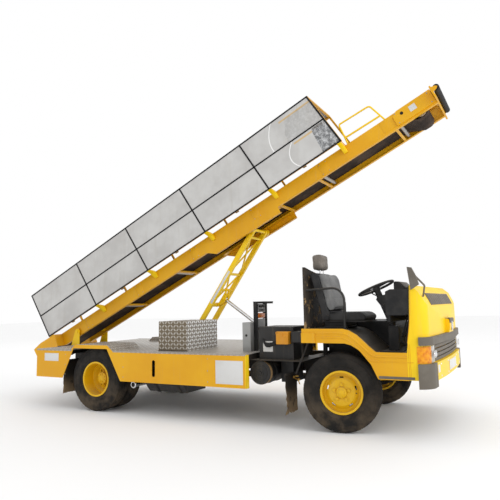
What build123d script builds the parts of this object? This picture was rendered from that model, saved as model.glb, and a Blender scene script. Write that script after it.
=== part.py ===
"""Baggage belt loader: an open cut-down cab, a flat deck and a belt boom lifted by a cylinder.

Lengths are millimetres and angles degrees. While the pieces are made, X runs forward, Y to
the left of the centre plane and Z up, with the front axle at FRONT_AXLE_X and both axles at
the height AXLE_Z. Before the pieces are written they are shifted so that the origin lies on
the ground under the middle of the whole.
"""
from build123d import *
from math import atan2, cos, degrees, hypot, radians, sin
import os

# Wheels and axles
WHEELBASE = 3195
FRONT_AXLE_X = -37
REAR_AXLE_X = FRONT_AXLE_X - WHEELBASE
AXLE_Z = 385
TYRE_R = 396
TYRE_HALF = 102.5
RIM_R = 203
RIM_LIP_R = 216.5
RIM_HALF = 88
RIM_WALL = 7
FRONT_TYRE_Y = 826.5
KINGPIN_Y = 700
TWIN_GAP = 40
REAR_OUTER_Y = 894.5
SPINDLE_R = 28
RUNNING_GAP = 0.05
STEER_REST = 10
STEER_ARM = 140
STEER_ARM_Z = 300
TIE_ROD_R = 12

# Chassis
RAIL_OUT = 400
RAIL_IN = 330
RAIL_TOP = 680
RAIL_BOTTOM = 520
RAIL_WALL = 8
CHASSIS_REAR = REAR_AXLE_X - 968
CHASSIS_FRONT = 700
SPRING_HALF = 520
HANGER_HALF = 30
SPRING_Y = 372
REAR_SPRING_Y = 472
SPRING_PACK = 46
AXLE_TUBE_R = 48

# Deck
DECK_TOP = 750
DECK_SHEET = 5
DECK_REAR = CHASSIS_REAR - 30
DECK_FRONT = -1005
BEARER_HALF = 25
INNER_EDGE = 520
ARCH_BACK = 23
SKIRT_Y = 1050
SKIRT_SHEET = 5
SKIRT_BOTTOM = 390
ARCH_TOP = 815
ARCH_FOOT_HALF = 490
ARCH_CROWN_HALF = 285
ARCH_DECK_HALF = 350
ARCH_LIP = 45
NOTCH_HALF = 75
NOTCH_LENGTH = 250
BOX_LENGTH = 413
BOX_WIDTH = 679
BOX_HEIGHT = 350
BOX_RIGHT = -878

# Boom, in its own frame: U along it from the hinge, V square to it and up
HINGE_X = DECK_REAR - 50
HINGE_Z = DECK_TOP + 190
BOOM_ANGLE = 25.8
BOOM_END = 5845
COVER_LENGTH = 480
HANDRAIL_BACK = 1060
GIRDER_HALF = 265
WEB = 6
FLANGE = 40
GIRDER_TOP = 119
GIRDER_BOTTOM = -64
DEEP_BOTTOM = -146
DEEP_START = 2617
DEEP_END = 3664
DEEP_RAMP = 120
TAIL_HALF = 405
TAIL_START = -340
TAIL_LENGTH = 486
BELT_SHEET = 8
BELT_HALF = 212
DRUM_R = 75
DRUM_V = -9
HEAD_DRUM_U = BOOM_END - 195
TAIL_DRUM_U = TAIL_START - 380
RETURN_V = -4
IDLER_R = 22
BUMPER_R = 35
BUMPER_U = BOOM_END + 62
BUMPER_V = 47
HINGE_PIN_R = 25

# Canopy, in the boom's frame
CANOPY_HALF = 405
CANOPY_FOOT_V = 138
CANOPY_START_U = -443
CANOPY_PITCH = 1039
CANOPY_BAYS = 5
LOWER_ROW = 364
UPPER_ROW = 378
POST_LEAN = 7.7
CANOPY_TUBE = 25
SHEET = 4

# Lift frame and its cylinder
ROLLER_U = 3200
ROLLER_V = -108
ROLLER_R = 40
FOOT_X = REAR_AXLE_X + 902
FOOT_Z = DECK_TOP + 90
LEG_Y = 160
LEG_W = 40
LEG_D = 60
EYE_ALONG = 679.7
EYE_BELOW = 58.5
BASE_X = DECK_FRONT + 85
BASE_Z = RAIL_TOP + 10
PIN_R = 18
EYE_R = 32
BARREL_R = 42
BARREL_LENGTH = 640
ROD_R = 22.5
EYE_HALF = 24
CHEEK_GAP = 7

# Cab
CAB_HALF = 1000
CAB_REAR = -375
SILL_TOP = 800
SILL_BOTTOM = 548
FENDER_TOP = 1022
FENDER_BOTTOM = 879
FENDER_SKIN = 30
COWL_REAR = 690
COWL_FRONT = COWL_REAR + 215
COWL_TOP = 1434
COWL_WALL = 25
COWL_CORNER = 150
NOSE_HALF = 140
SEAT_Y = -CAB_HALF + 380
CUSHION_LOW = 1085
CUSHION_TOP = 1185
HUMP_HALF = 350
HUMP_TOP = 1075
STEERING_X = 325
STEERING_Y = SEAT_Y
STEERING_Z = 1424
STEERING_TILT = 22
STEERING_R = 200
COLUMN_LENGTH = 420
DASH_REAR = COWL_REAR - 185
DASH_TOP = COWL_TOP - 34
GRILLE_HALF = CAB_HALF - 260
GRILLE_BOTTOM = 700
GRILLE_TOP = 868
SLAT_COUNT = 4
BAND_TOP = 950
BAND_PROUD = 30
LAMP_PROUD = 6
BUMPER_PROUD = 34
BUMPER_LOW = 533
BUMPER_HIGH = 698
CORNER_LOW = 474
SHELF_TOP = 688
DRUM_X = DECK_FRONT + 105
DRUM_R_AIR = 125


def box(x0, x1, y0, y1, z0, z1):
    """A block between two corners."""
    return Pos((x0 + x1) / 2, (y0 + y1) / 2, (z0 + z1) / 2) * Box(abs(x1 - x0), abs(y1 - y0), abs(z1 - z0))


def rod_y(x, z, y0, y1, r):
    """A round bar lying across the vehicle."""
    return Pos(x, (y0 + y1) / 2, z) * Rot(90, 0, 0) * Cylinder(r, abs(y1 - y0))


def rod_x(y, z, x0, x1, r):
    """A round bar lying along the vehicle."""
    return Pos((x0 + x1) / 2, y, z) * Rot(0, 90, 0) * Cylinder(r, abs(x1 - x0))


def rod_z(x, y, z0, z1, r):
    """An upright round bar."""
    return Pos(x, y, (z0 + z1) / 2) * Cylinder(r, abs(z1 - z0))


def side_plate(points, y0, y1):
    """A plate whose outline is given as (x, z) and whose thickness runs from y0 to y1."""
    low, high = min(y0, y1), max(y0, y1)
    face = Plane((0, high, 0), (1, 0, 0), (0, -1, 0)) * Polygon(*points, align=None)
    return extrude(face, high - low, dir=(0, -1, 0))


def cross_plate(points, x0, x1):
    """A plate whose outline is given as (y, z) and whose thickness runs from x0 to x1."""
    low, high = min(x0, x1), max(x0, x1)
    face = Plane((low, 0, 0), (0, 1, 0), (1, 0, 0)) * Polygon(*points, align=None)
    return extrude(face, high - low, dir=(1, 0, 0))


def floor_plate(points, z0, z1):
    """A plate whose outline is given as (x, y) and whose thickness runs from z0 to z1."""
    return extrude(Pos(0, 0, z0) * Polygon(*points, align=None), z1 - z0, dir=(0, 0, 1))


def round_bar(points, radius, bends):
    """A bent round bar through the points, with the given bend radius at each corner."""
    path = FilletPolyline(*points, radius=bends)
    return sweep(Plane(path @ 0, z_dir=path % 0) * Circle(radius), path)


def joined(solids):
    """Solids that touch or cross, made one."""
    whole = solids[0]
    for solid in solids[1:]:
        whole = whole + solid
    return whole


def group(solids):
    """Solids that stay apart in one node."""
    flat = []
    for item in solids:
        flat += list(item.solids())
    return Compound(flat)


# Frames of the moving parts
BOOM = Location((HINGE_X, 0, HINGE_Z), (0, -BOOM_ANGLE, 0))
ROLLER_X = HINGE_X + ROLLER_U * cos(radians(BOOM_ANGLE)) - ROLLER_V * sin(radians(BOOM_ANGLE))
ROLLER_Z = HINGE_Z + ROLLER_U * sin(radians(BOOM_ANGLE)) + ROLLER_V * cos(radians(BOOM_ANGLE))
LEG_LENGTH = hypot(ROLLER_X - FOOT_X, ROLLER_Z - FOOT_Z)
LEG_ANGLE = degrees(atan2(ROLLER_Z - FOOT_Z, ROLLER_X - FOOT_X))
EYE_X = FOOT_X + EYE_ALONG * cos(radians(LEG_ANGLE)) + EYE_BELOW * sin(radians(LEG_ANGLE))
EYE_Z = FOOT_Z + EYE_ALONG * sin(radians(LEG_ANGLE)) - EYE_BELOW * cos(radians(LEG_ANGLE))
BOX_REAR = FOOT_X + 19
TANK_STRAPS = (REAR_AXLE_X + 852, REAR_AXLE_X + 1262)
CROSS_MEMBERS = [CHASSIS_REAR + 50, REAR_AXLE_X - 468, REAR_AXLE_X + 532, (DECK_FRONT - 145 + REAR_AXLE_X + 532) / 2,
                 DECK_FRONT - 145, FRONT_AXLE_X - SPRING_HALF - 83, CHASSIS_FRONT - 60]
LIFT = Location((FOOT_X, 0, FOOT_Z), (0, -LEG_ANGLE, 0))
CYLINDER_LENGTH = hypot(EYE_X - BASE_X, EYE_Z - BASE_Z)
CYLINDER_ANGLE = degrees(atan2(EYE_Z - BASE_Z, EYE_X - BASE_X))
RAM = Location((BASE_X, 0, BASE_Z), (0, -CYLINDER_ANGLE, 0))


def tyre(y):
    """A plain radial tyre round the Y axis, its bead on the rim's seat."""
    bead_y = RIM_HALF - 8.3
    half = [
        Line((RIM_R, 0), (RIM_R, bead_y)),
        Line((RIM_R, bead_y), (RIM_LIP_R + 2, bead_y)),
        ThreePointArc((RIM_LIP_R + 2, bead_y), (RIM_R + 90, TYRE_HALF), (TYRE_R - 22, TYRE_HALF - 9)),
        Line((TYRE_R - 22, TYRE_HALF - 9), (TYRE_R - 4, TYRE_HALF - 24)),
        Line((TYRE_R - 4, TYRE_HALF - 24), (TYRE_R, 0)),
        Line((TYRE_R, 0), (RIM_R, 0)),
    ]
    shape = revolve(make_face(half), Axis.Y)
    return Pos(0, y, 0) * (shape + mirror(shape, Plane.XZ))


def barrel(y):
    """A wheel rim's round wall with its two lips."""
    inner = RIM_R - RIM_WALL
    outline = [
        (inner, -RIM_HALF), (RIM_LIP_R, -RIM_HALF), (RIM_LIP_R, -RIM_HALF + 8), (RIM_R, -RIM_HALF + 8),
        (RIM_R, RIM_HALF - 8), (RIM_LIP_R, RIM_HALF - 8), (RIM_LIP_R, RIM_HALF), (inner, RIM_HALF),
    ]
    return Pos(0, y, 0) * revolve(Polygon(*outline, align=None), Axis.Y)


def ring_holes(shape, count, radius, hole, y0, y1, first=0):
    """The shape with a ring of holes of the given sketch cut along Y."""
    for k in range(count):
        turn = first + 360 * k / count
        cutter = extrude(Plane((0, y1, 0), (1, 0, 0), (0, -1, 0)) * (Rot(0, 0, turn) * Pos(radius, 0) * hole),
                         y1 - y0, dir=(0, -1, 0))
        shape = shape - cutter
    return shape


def front_rim():
    """Front wheel of the right side, centred on the axle line, outer face towards -Y."""
    inner = RIM_R - RIM_WALL
    disc = [
        (0, -92), (38, -92), (52, -84), (60, -66), (96, -70), (130, -62), (168, -34), (inner + 1, -30),
        (inner + 1, -21), (164, -24), (126, -52), (62, -56), (62, 8), (SPINDLE_R + RUNNING_GAP, 8),
        (SPINDLE_R + RUNNING_GAP, -70), (0, -70),
    ]
    wheel = barrel(0) + revolve(Polygon(*disc, align=None), Axis.Y)
    return ring_holes(wheel, 5, 148, RectangleRounded(14, 44, 6), -80, -10, 18)


def rear_rims():
    """The right side's twin wheels on one hub, centred between the two tyres."""
    shift = TYRE_HALF + TWIN_GAP / 2
    inner = RIM_R - RIM_WALL
    disc = [
        (SPINDLE_R + RUNNING_GAP, -100), (70, -100), (80, -14), (150, -14), (182, -60),
        (inner + 1, -60), (inner + 1, -50), (188, -50), (156, -2), (156, 2), (188, 50), (inner + 1, 50),
        (inner + 1, 60), (182, 60), (150, 14), (80, 14), (80, 60), (SPINDLE_R + RUNNING_GAP, 60),
    ]
    cap = [(0, -118), (30, -118), (62, -100), (0, -100)]
    wheel = barrel(-shift) + barrel(shift)
    wheel = wheel + revolve(Polygon(*disc, align=None), Axis.Y)
    wheel = wheel + revolve(Polygon(*cap, align=None), Axis.Y)
    return ring_holes(wheel, 8, 120, Circle(15), -20, 20)


def knuckle():
    """Right steering knuckle about its kingpin: a fork, a stub axle and a steering arm."""
    y_plate = -42
    plate = box(-40, 40, y_plate - 24, y_plate, -78, 78)
    ears = [box(-32, 32, y_plate, 34, z, z + 24) for z in (-78, 54)]
    stub = rod_y(0, 0, y_plate - 150, y_plate - 20, SPINDLE_R)
    arm_z = STEER_ARM_Z - AXLE_Z
    arm = box(-STEER_ARM, 0, -14, 14, arm_z - 2, arm_z + 14)
    boss = rod_z(-STEER_ARM, 0, arm_z - 2, arm_z + 14, 22)
    hole = rod_z(0, 0, -90, 90, PIN_R + RUNNING_GAP)
    pin_hole = rod_z(-STEER_ARM, 0, arm_z - 30, arm_z + 30, 8 + RUNNING_GAP)
    return joined([plate] + ears + [stub, arm, boss]) - hole - pin_hole


def on_kingpin(shape, side):
    """Place a piece made about the right kingpin on either side, turned as it is steered."""
    if side > 0:
        shape = mirror(shape, Plane.XZ)
    return Location((FRONT_AXLE_X, side * KINGPIN_Y, AXLE_Z), (0, 0, STEER_REST)) * shape


def make_wheels():
    """Tyres and rims, the front ones steered."""
    made = {}
    for name, side in (("right", -1), ("left", 1)):
        front_tyre = tyre(-(FRONT_TYRE_Y - KINGPIN_Y))
        front_wheel = Pos(0, -(FRONT_TYRE_Y - KINGPIN_Y), 0) * front_rim()
        made["tyre_front_" + name] = on_kingpin(front_tyre, side)
        made["rim_front_" + name] = on_kingpin(front_wheel, side)
        made["knuckle_" + name] = on_kingpin(knuckle(), side)
        shift = TYRE_HALF + TWIN_GAP / 2
        middle = REAR_OUTER_Y - shift
        twin = group([tyre(-shift), tyre(shift)])
        rims = rear_rims()
        if side > 0:
            twin = mirror(twin, Plane.XZ)
            rims = mirror(rims, Plane.XZ)
        made["tyres_rear_" + name] = Pos(REAR_AXLE_X, side * middle, AXLE_Z) * twin
        made["rims_rear_" + name] = Pos(REAR_AXLE_X, side * middle, AXLE_Z) * rims
    return made


def make_tie_rod():
    """Bar between the two steering arms, with a ball pin up into each."""
    x = FRONT_AXLE_X - STEER_ARM * cos(radians(STEER_REST))
    across = -STEER_ARM * sin(radians(STEER_REST))
    z = STEER_ARM_Z - 20
    parts = [rod_y(x, z, across - KINGPIN_Y, across + KINGPIN_Y, TIE_ROD_R)]
    for side in (-1, 1):
        parts.append(rod_z(x, across + side * KINGPIN_Y, z - 14, z + 14, 20))
        parts.append(rod_z(x, across + side * KINGPIN_Y, z, STEER_ARM_Z + 16, 8))
    return joined(parts)


def leaf_spring(x, y, z_end, z_mid):
    """An arched pack of leaves with the eyes at its ends."""
    half = SPRING_HALF
    outer = make_face([
        ThreePointArc((x - half, z_end), (x, z_mid), (x + half, z_end)),
        Line((x + half, z_end), (x + half, z_end - 14)),
        ThreePointArc((x + half, z_end - 14), (x, z_mid - SPRING_PACK), (x - half, z_end - 14)),
        Line((x - half, z_end - 14), (x - half, z_end)),
    ])
    pack = extrude(Plane((0, y + 30, 0), (1, 0, 0), (0, -1, 0)) * outer, 60, dir=(0, -1, 0))
    eyes = [rod_y(x + side * half, z_end - 2, y - 30, y + 30, 20) for side in (-1, 1)]
    return joined([pack] + eyes)


def make_running_gear():
    """Front beam, rear axle and their springs, and the shaft that drives the rear axle."""
    z = AXLE_Z
    drop = 45
    beam_line = [
        (-KINGPIN_Y + 28, z + 22), (-KINGPIN_Y + 110, z + 22), (-520, z - drop + 24), (520, z - drop + 24),
        (KINGPIN_Y - 110, z + 22), (KINGPIN_Y - 28, z + 22), (KINGPIN_Y - 28, z - 22),
        (KINGPIN_Y - 120, z - 22), (500, z - drop - 24), (-500, z - drop - 24),
        (-KINGPIN_Y + 120, z - 22), (-KINGPIN_Y + 28, z - 22),
    ]
    beam = cross_plate(beam_line, FRONT_AXLE_X - 32, FRONT_AXLE_X + 32)
    parts = [beam]
    for side in (-1, 1):
        parts.append(rod_z(FRONT_AXLE_X, side * KINGPIN_Y, z - 53, z + 53, 32))
        parts.append(rod_z(FRONT_AXLE_X, side * KINGPIN_Y, z - 84, z + 84, PIN_R))
    made = {"front_axle": joined(parts)}

    seat = z - drop + 24 + SPRING_PACK
    front = [leaf_spring(FRONT_AXLE_X, side * SPRING_Y, RAIL_BOTTOM - 24, seat) for side in (-1, 1)]

    inner_end = REAR_OUTER_Y - TYRE_HALF - TWIN_GAP / 2
    axle = [rod_y(REAR_AXLE_X, z, -inner_end + 66, inner_end - 66, AXLE_TUBE_R)]
    axle.append(Pos(REAR_AXLE_X, 0, z) * Sphere(150))
    for side in (-1, 1):
        axle.append(rod_y(REAR_AXLE_X, z, side * (inner_end - 66), side * (inner_end + 96), SPINDLE_R))
    axle.append(rod_x(0, z + 20, REAR_AXLE_X + 90, REAR_AXLE_X + 190, 55))
    made["rear_axle"] = joined(axle)
    seat = z + AXLE_TUBE_R + SPRING_PACK + 0.3
    rear = [leaf_spring(REAR_AXLE_X, side * REAR_SPRING_Y, RAIL_BOTTOM + 10, seat) for side in (-1, 1)]
    made["springs"] = group(front + rear)
    shaft = [rod_x(0, z + 20, REAR_AXLE_X + 190, -350, 38)]
    for x in (REAR_AXLE_X + 230, (REAR_AXLE_X - 590) / 2, -392):
        shaft.append(rod_x(0, z + 20, x - 40, x + 40, 52))
    made["drive_shaft"] = joined(shaft)
    return made


def channel(side):
    """One C-shaped side rail of the chassis, open towards the centre."""
    y_out, y_in = side * RAIL_OUT, side * RAIL_IN
    web = box(CHASSIS_REAR, CHASSIS_FRONT, y_out, y_out - side * RAIL_WALL, RAIL_BOTTOM, RAIL_TOP)
    top = box(CHASSIS_REAR, CHASSIS_FRONT, y_out, y_in, RAIL_TOP - RAIL_WALL, RAIL_TOP)
    low = box(CHASSIS_REAR, CHASSIS_FRONT, y_out, y_in, RAIL_BOTTOM, RAIL_BOTTOM + RAIL_WALL)
    return joined([web, top, low])


def make_chassis():
    """Ladder frame with its cross members, spring hangers and the beam behind the deck."""
    web_in = RAIL_OUT - RAIL_WALL
    rails = []
    for side in (-1, 1):
        tie = box(DECK_REAR - 76, CHASSIS_REAR + 60, side * RAIL_OUT, side * (RAIL_OUT - 40), RAIL_TOP - 29, RAIL_TOP)
        nose = box(CHASSIS_FRONT, COWL_FRONT + 6, side * (RAIL_IN + 10), side * RAIL_OUT, RAIL_BOTTOM, SILL_BOTTOM - 0.3)
        rails.append(joined([channel(side), tie, nose]))
    made = {"chassis_rails": group(rails)}
    cross = [box(x - 40, x + 40, -web_in, web_in, RAIL_BOTTOM + 60, RAIL_TOP - 30) for x in CROSS_MEMBERS]
    cross.append(box(DECK_REAR - 176, DECK_REAR - 76, -RAIL_OUT - 20, RAIL_OUT + 20, RAIL_TOP - 40, DECK_TOP - 10))
    made["cross_members"] = group(cross)

    hangers = []
    for x, y, z_eye in ((FRONT_AXLE_X, SPRING_Y, RAIL_BOTTOM - 26), (REAR_AXLE_X, REAR_SPRING_Y, RAIL_BOTTOM + 8)):
        for end in (-1, 1):
            x0, x1 = x + end * SPRING_HALF - HANGER_HALF, x + end * SPRING_HALF + HANGER_HALF
            for side in (-1, 1):
                top = RAIL_BOTTOM if y < RAIL_OUT else z_eye + 40
                near = box(x0, x1, side * (y - 42), side * (y - 30.3), z_eye - 24, top)
                far = box(x0, x1, side * (y + 42), side * (y + 30.3), z_eye - 24, top)
                bridge = box(x0, x1, side * (y - 42), side * (y + 42), z_eye + 24, top)
                hangers.append(joined([near, far, bridge]))
                if y > RAIL_OUT:
                    hangers.append(box(x0, x1, side * RAIL_OUT, side * (y - 42), z_eye, top))
    made["spring_hangers"] = group(hangers)

    arms = [
        box(DECK_FRONT + 2, CAB_REAR - 15, -CAB_HALF + 50, -RAIL_IN, RAIL_TOP, SHELF_TOP),
        box(DRUM_X - 70, DRUM_X + 70, -RAIL_OUT - 30, -RAIL_OUT, 530, 600),
        box(REAR_AXLE_X + 592, REAR_AXLE_X + 632, -RAIL_OUT - 40, -RAIL_OUT, 315, 560),
    ]
    for x in TANK_STRAPS:
        arms.append(box(x - 20, x + 20, -CAB_HALF + 50, -RAIL_OUT, RAIL_BOTTOM, RAIL_BOTTOM + 12))
    for side in (-1, 1):
        arms.append(box(-130, -70, side * 270, side * web_in, 560, 620))
        arms.append(box(500, 560, side * (RAIL_IN + 10), side * RAIL_OUT, RAIL_TOP, SILL_TOP - 24))
        arms.append(box(CAB_REAR + 5, CAB_REAR + 45, side * 360, side * RAIL_OUT, RAIL_TOP, FENDER_TOP - 24))
        arms.append(box(FRONT_AXLE_X - SPRING_HALF - 40, FRONT_AXLE_X - SPRING_HALF - 30.3, side * RAIL_OUT, side * (CAB_HALF - 40),
                        RAIL_BOTTOM + 10, RAIL_BOTTOM + 30))
        arms.append(box(REAR_AXLE_X - 558, REAR_AXLE_X - 548, side * RAIL_OUT, side * (SKIRT_Y - 60), 590, 610))
    made["frame_arms"] = group(arms)
    return made


def make_brackets():
    """Boom hinge plates, lift frame feet and the cylinder's lower bracket."""
    made = []
    reach = GIRDER_HALF + 20
    for side in (-1, 1):
        y0, y1 = side * reach, side * (reach + 14)
        top_half = 42
        outline = [
            (HINGE_X - 110, DECK_TOP - 10), (HINGE_X + 40, DECK_TOP - 10),
            (HINGE_X + top_half, HINGE_Z + 10), (HINGE_X + 20, HINGE_Z + 38),
            (HINGE_X - 20, HINGE_Z + 38), (HINGE_X - top_half, HINGE_Z + 10),
        ]
        plate = side_plate(outline, y0, y1)
        pin = rod_y(HINGE_X, HINGE_Z, side * (GIRDER_HALF - 30), side * (reach + 26), HINGE_PIN_R)
        made.append(plate + pin)
    for side in (-1, 1):
        for y0, y1 in ((LEG_Y - LEG_W / 2 - 17, LEG_Y - LEG_W / 2 - 5), (LEG_Y + LEG_W / 2 + 5, LEG_Y + LEG_W / 2 + 17)):
            outline = [
                (FOOT_X - 70, DECK_TOP + 12), (FOOT_X + 70, DECK_TOP + 12), (FOOT_X + 34, FOOT_Z + 20),
                (FOOT_X, FOOT_Z + 34), (FOOT_X - 34, FOOT_Z + 20),
            ]
            made.append(side_plate(outline, side * y0, side * y1))
        base = box(FOOT_X - 90, FOOT_X + 90, side * (LEG_Y - 37), side * (LEG_Y + 37), DECK_TOP, DECK_TOP + 12)
        pin = rod_y(FOOT_X, FOOT_Z, side * (LEG_Y - 37), side * (LEG_Y + 37), PIN_R)
        ears = [made.pop(), made.pop()]
        made.append(joined([base, pin] + ears))
    ears = []
    for side in (-1, 1):
        outline = [
            (BASE_X - 40, RAIL_TOP - 80), (BASE_X + 90, RAIL_TOP - 80), (BASE_X + 40, BASE_Z + 10), (BASE_X, BASE_Z + 34),
            (BASE_X - 34, BASE_Z + 10),
        ]
        ears.append(side_plate(outline, side * (EYE_HALF + 4), side * (EYE_HALF + 16)))
    between = RAIL_OUT - RAIL_WALL
    beam = box(BASE_X - 45, BASE_X + 95, -between, between, RAIL_BOTTOM + 40, RAIL_TOP - 78)
    pin = rod_y(BASE_X, BASE_Z, -EYE_HALF - 24, EYE_HALF + 24, PIN_R)
    made.append(joined([beam, pin] + ears))
    return {"pivot_brackets": group(made)}


def arch_line(offset):
    """The wheel arch opening in a side skirt as (x, z) points."""
    x = REAR_AXLE_X - ARCH_BACK
    return [
        (x - ARCH_FOOT_HALF, SKIRT_BOTTOM - 1), (x - ARCH_CROWN_HALF - 18, ARCH_TOP - ARCH_LIP - offset),
        (x + ARCH_CROWN_HALF - 18, ARCH_TOP - ARCH_LIP - offset), (x + ARCH_FOOT_HALF, SKIRT_BOTTOM - 1),
    ]


def deck_profile(lift):
    """The deck's upper line over the wheel as (x, z) points, raised by lift."""
    x = REAR_AXLE_X - ARCH_BACK
    return [
        (DECK_REAR, DECK_TOP + lift), (x - ARCH_DECK_HALF, DECK_TOP + lift),
        (x - ARCH_CROWN_HALF + 8, ARCH_TOP + lift), (x + ARCH_CROWN_HALF - 18, ARCH_TOP + lift),
        (x + ARCH_DECK_HALF, DECK_TOP + lift), (DECK_FRONT, DECK_TOP + lift),
    ]


def make_deck():
    """Chequered deck sheets, their bearers, the side skirts and the box on the deck."""
    middle = floor_plate([
        (DECK_REAR, -INNER_EDGE), (DECK_FRONT, -INNER_EDGE), (DECK_FRONT, -NOTCH_HALF),
        (DECK_FRONT - NOTCH_LENGTH, -NOTCH_HALF), (DECK_FRONT - NOTCH_LENGTH, NOTCH_HALF),
        (DECK_FRONT, NOTCH_HALF), (DECK_FRONT, INNER_EDGE), (DECK_REAR, INNER_EDGE),
    ], DECK_TOP - DECK_SHEET, DECK_TOP)
    parts = [middle]
    upper = deck_profile(0)
    lower = deck_profile(-DECK_SHEET)
    for side in (-1, 1):
        strip = side_plate(upper + lower[::-1], side * INNER_EDGE, side * (SKIRT_Y - SKIRT_SHEET))
        cheek_line = upper[1:5] + [(upper[4][0], DECK_TOP - DECK_SHEET), (upper[1][0], DECK_TOP - DECK_SHEET)]
        cheek = side_plate(cheek_line, side * INNER_EDGE, side * (INNER_EDGE + 5))
        parts += [strip, cheek]
    made = {"deck_sheets": joined(parts)}

    bearers = []
    first = DECK_FRONT - 55
    step = (first - REAR_AXLE_X - 592) / 4
    for x in [DECK_REAR + 100, REAR_AXLE_X - 548] + [first - step * k for k in range(5)]:
        if x == first:
            for side in (-1, 1):
                bearers.append(box(x - BEARER_HALF, x + BEARER_HALF, side * (NOTCH_HALF + 10), side * (SKIRT_Y - 12),
                                   RAIL_TOP, DECK_TOP - DECK_SHEET))
        else:
            bearers.append(box(x - BEARER_HALF, x + BEARER_HALF, -SKIRT_Y + 12, SKIRT_Y - 12,
                               RAIL_TOP, DECK_TOP - DECK_SHEET))
    made["deck_bearers"] = group(bearers)

    skirts = []
    arch = arch_line(0)
    for side in (-1, 1):
        outline = upper + [(DECK_FRONT, SKIRT_BOTTOM)] + arch[::-1] + [(DECK_REAR, SKIRT_BOTTOM)]
        web = side_plate(outline, side * SKIRT_Y, side * (SKIRT_Y - SKIRT_SHEET))
        slot = extrude(Plane((REAR_AXLE_X + 976, 2 * SKIRT_Y, 558), (1, 0, 0), (0, -1, 0))
                       * SlotOverall(195, 46, rotation=90),
                       4 * SKIRT_Y, dir=(0, -1, 0))
        lip = box(REAR_AXLE_X + 487, DECK_FRONT, side * (SKIRT_Y - SKIRT_SHEET), side * (SKIRT_Y - 38),
                  SKIRT_BOTTOM, SKIRT_BOTTOM + 5)
        front = box(DECK_FRONT - 5, DECK_FRONT, side * (SKIRT_Y - SKIRT_SHEET), side * (SKIRT_Y - 60),
                    SKIRT_BOTTOM, DECK_TOP - DECK_SHEET)
        rear = box(DECK_REAR, DECK_REAR + 5, side * (SKIRT_Y - SKIRT_SHEET), side * (SKIRT_Y - 190),
                   SKIRT_BOTTOM + 35, DECK_TOP - DECK_SHEET)
        skirts.append(joined([web - slot, lip, front, rear]))
    made["skirts"] = group(skirts)

    case = box(BOX_REAR, BOX_REAR + BOX_LENGTH, BOX_RIGHT, BOX_RIGHT + BOX_WIDTH, DECK_TOP, DECK_TOP + BOX_HEIGHT)
    wall = 4
    inside = box(BOX_REAR + wall, BOX_REAR + BOX_LENGTH - wall, BOX_RIGHT + wall, BOX_RIGHT + BOX_WIDTH - wall,
                 DECK_TOP - 1, DECK_TOP + BOX_HEIGHT - wall)
    made["deck_box"] = case - inside
    return made


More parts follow.
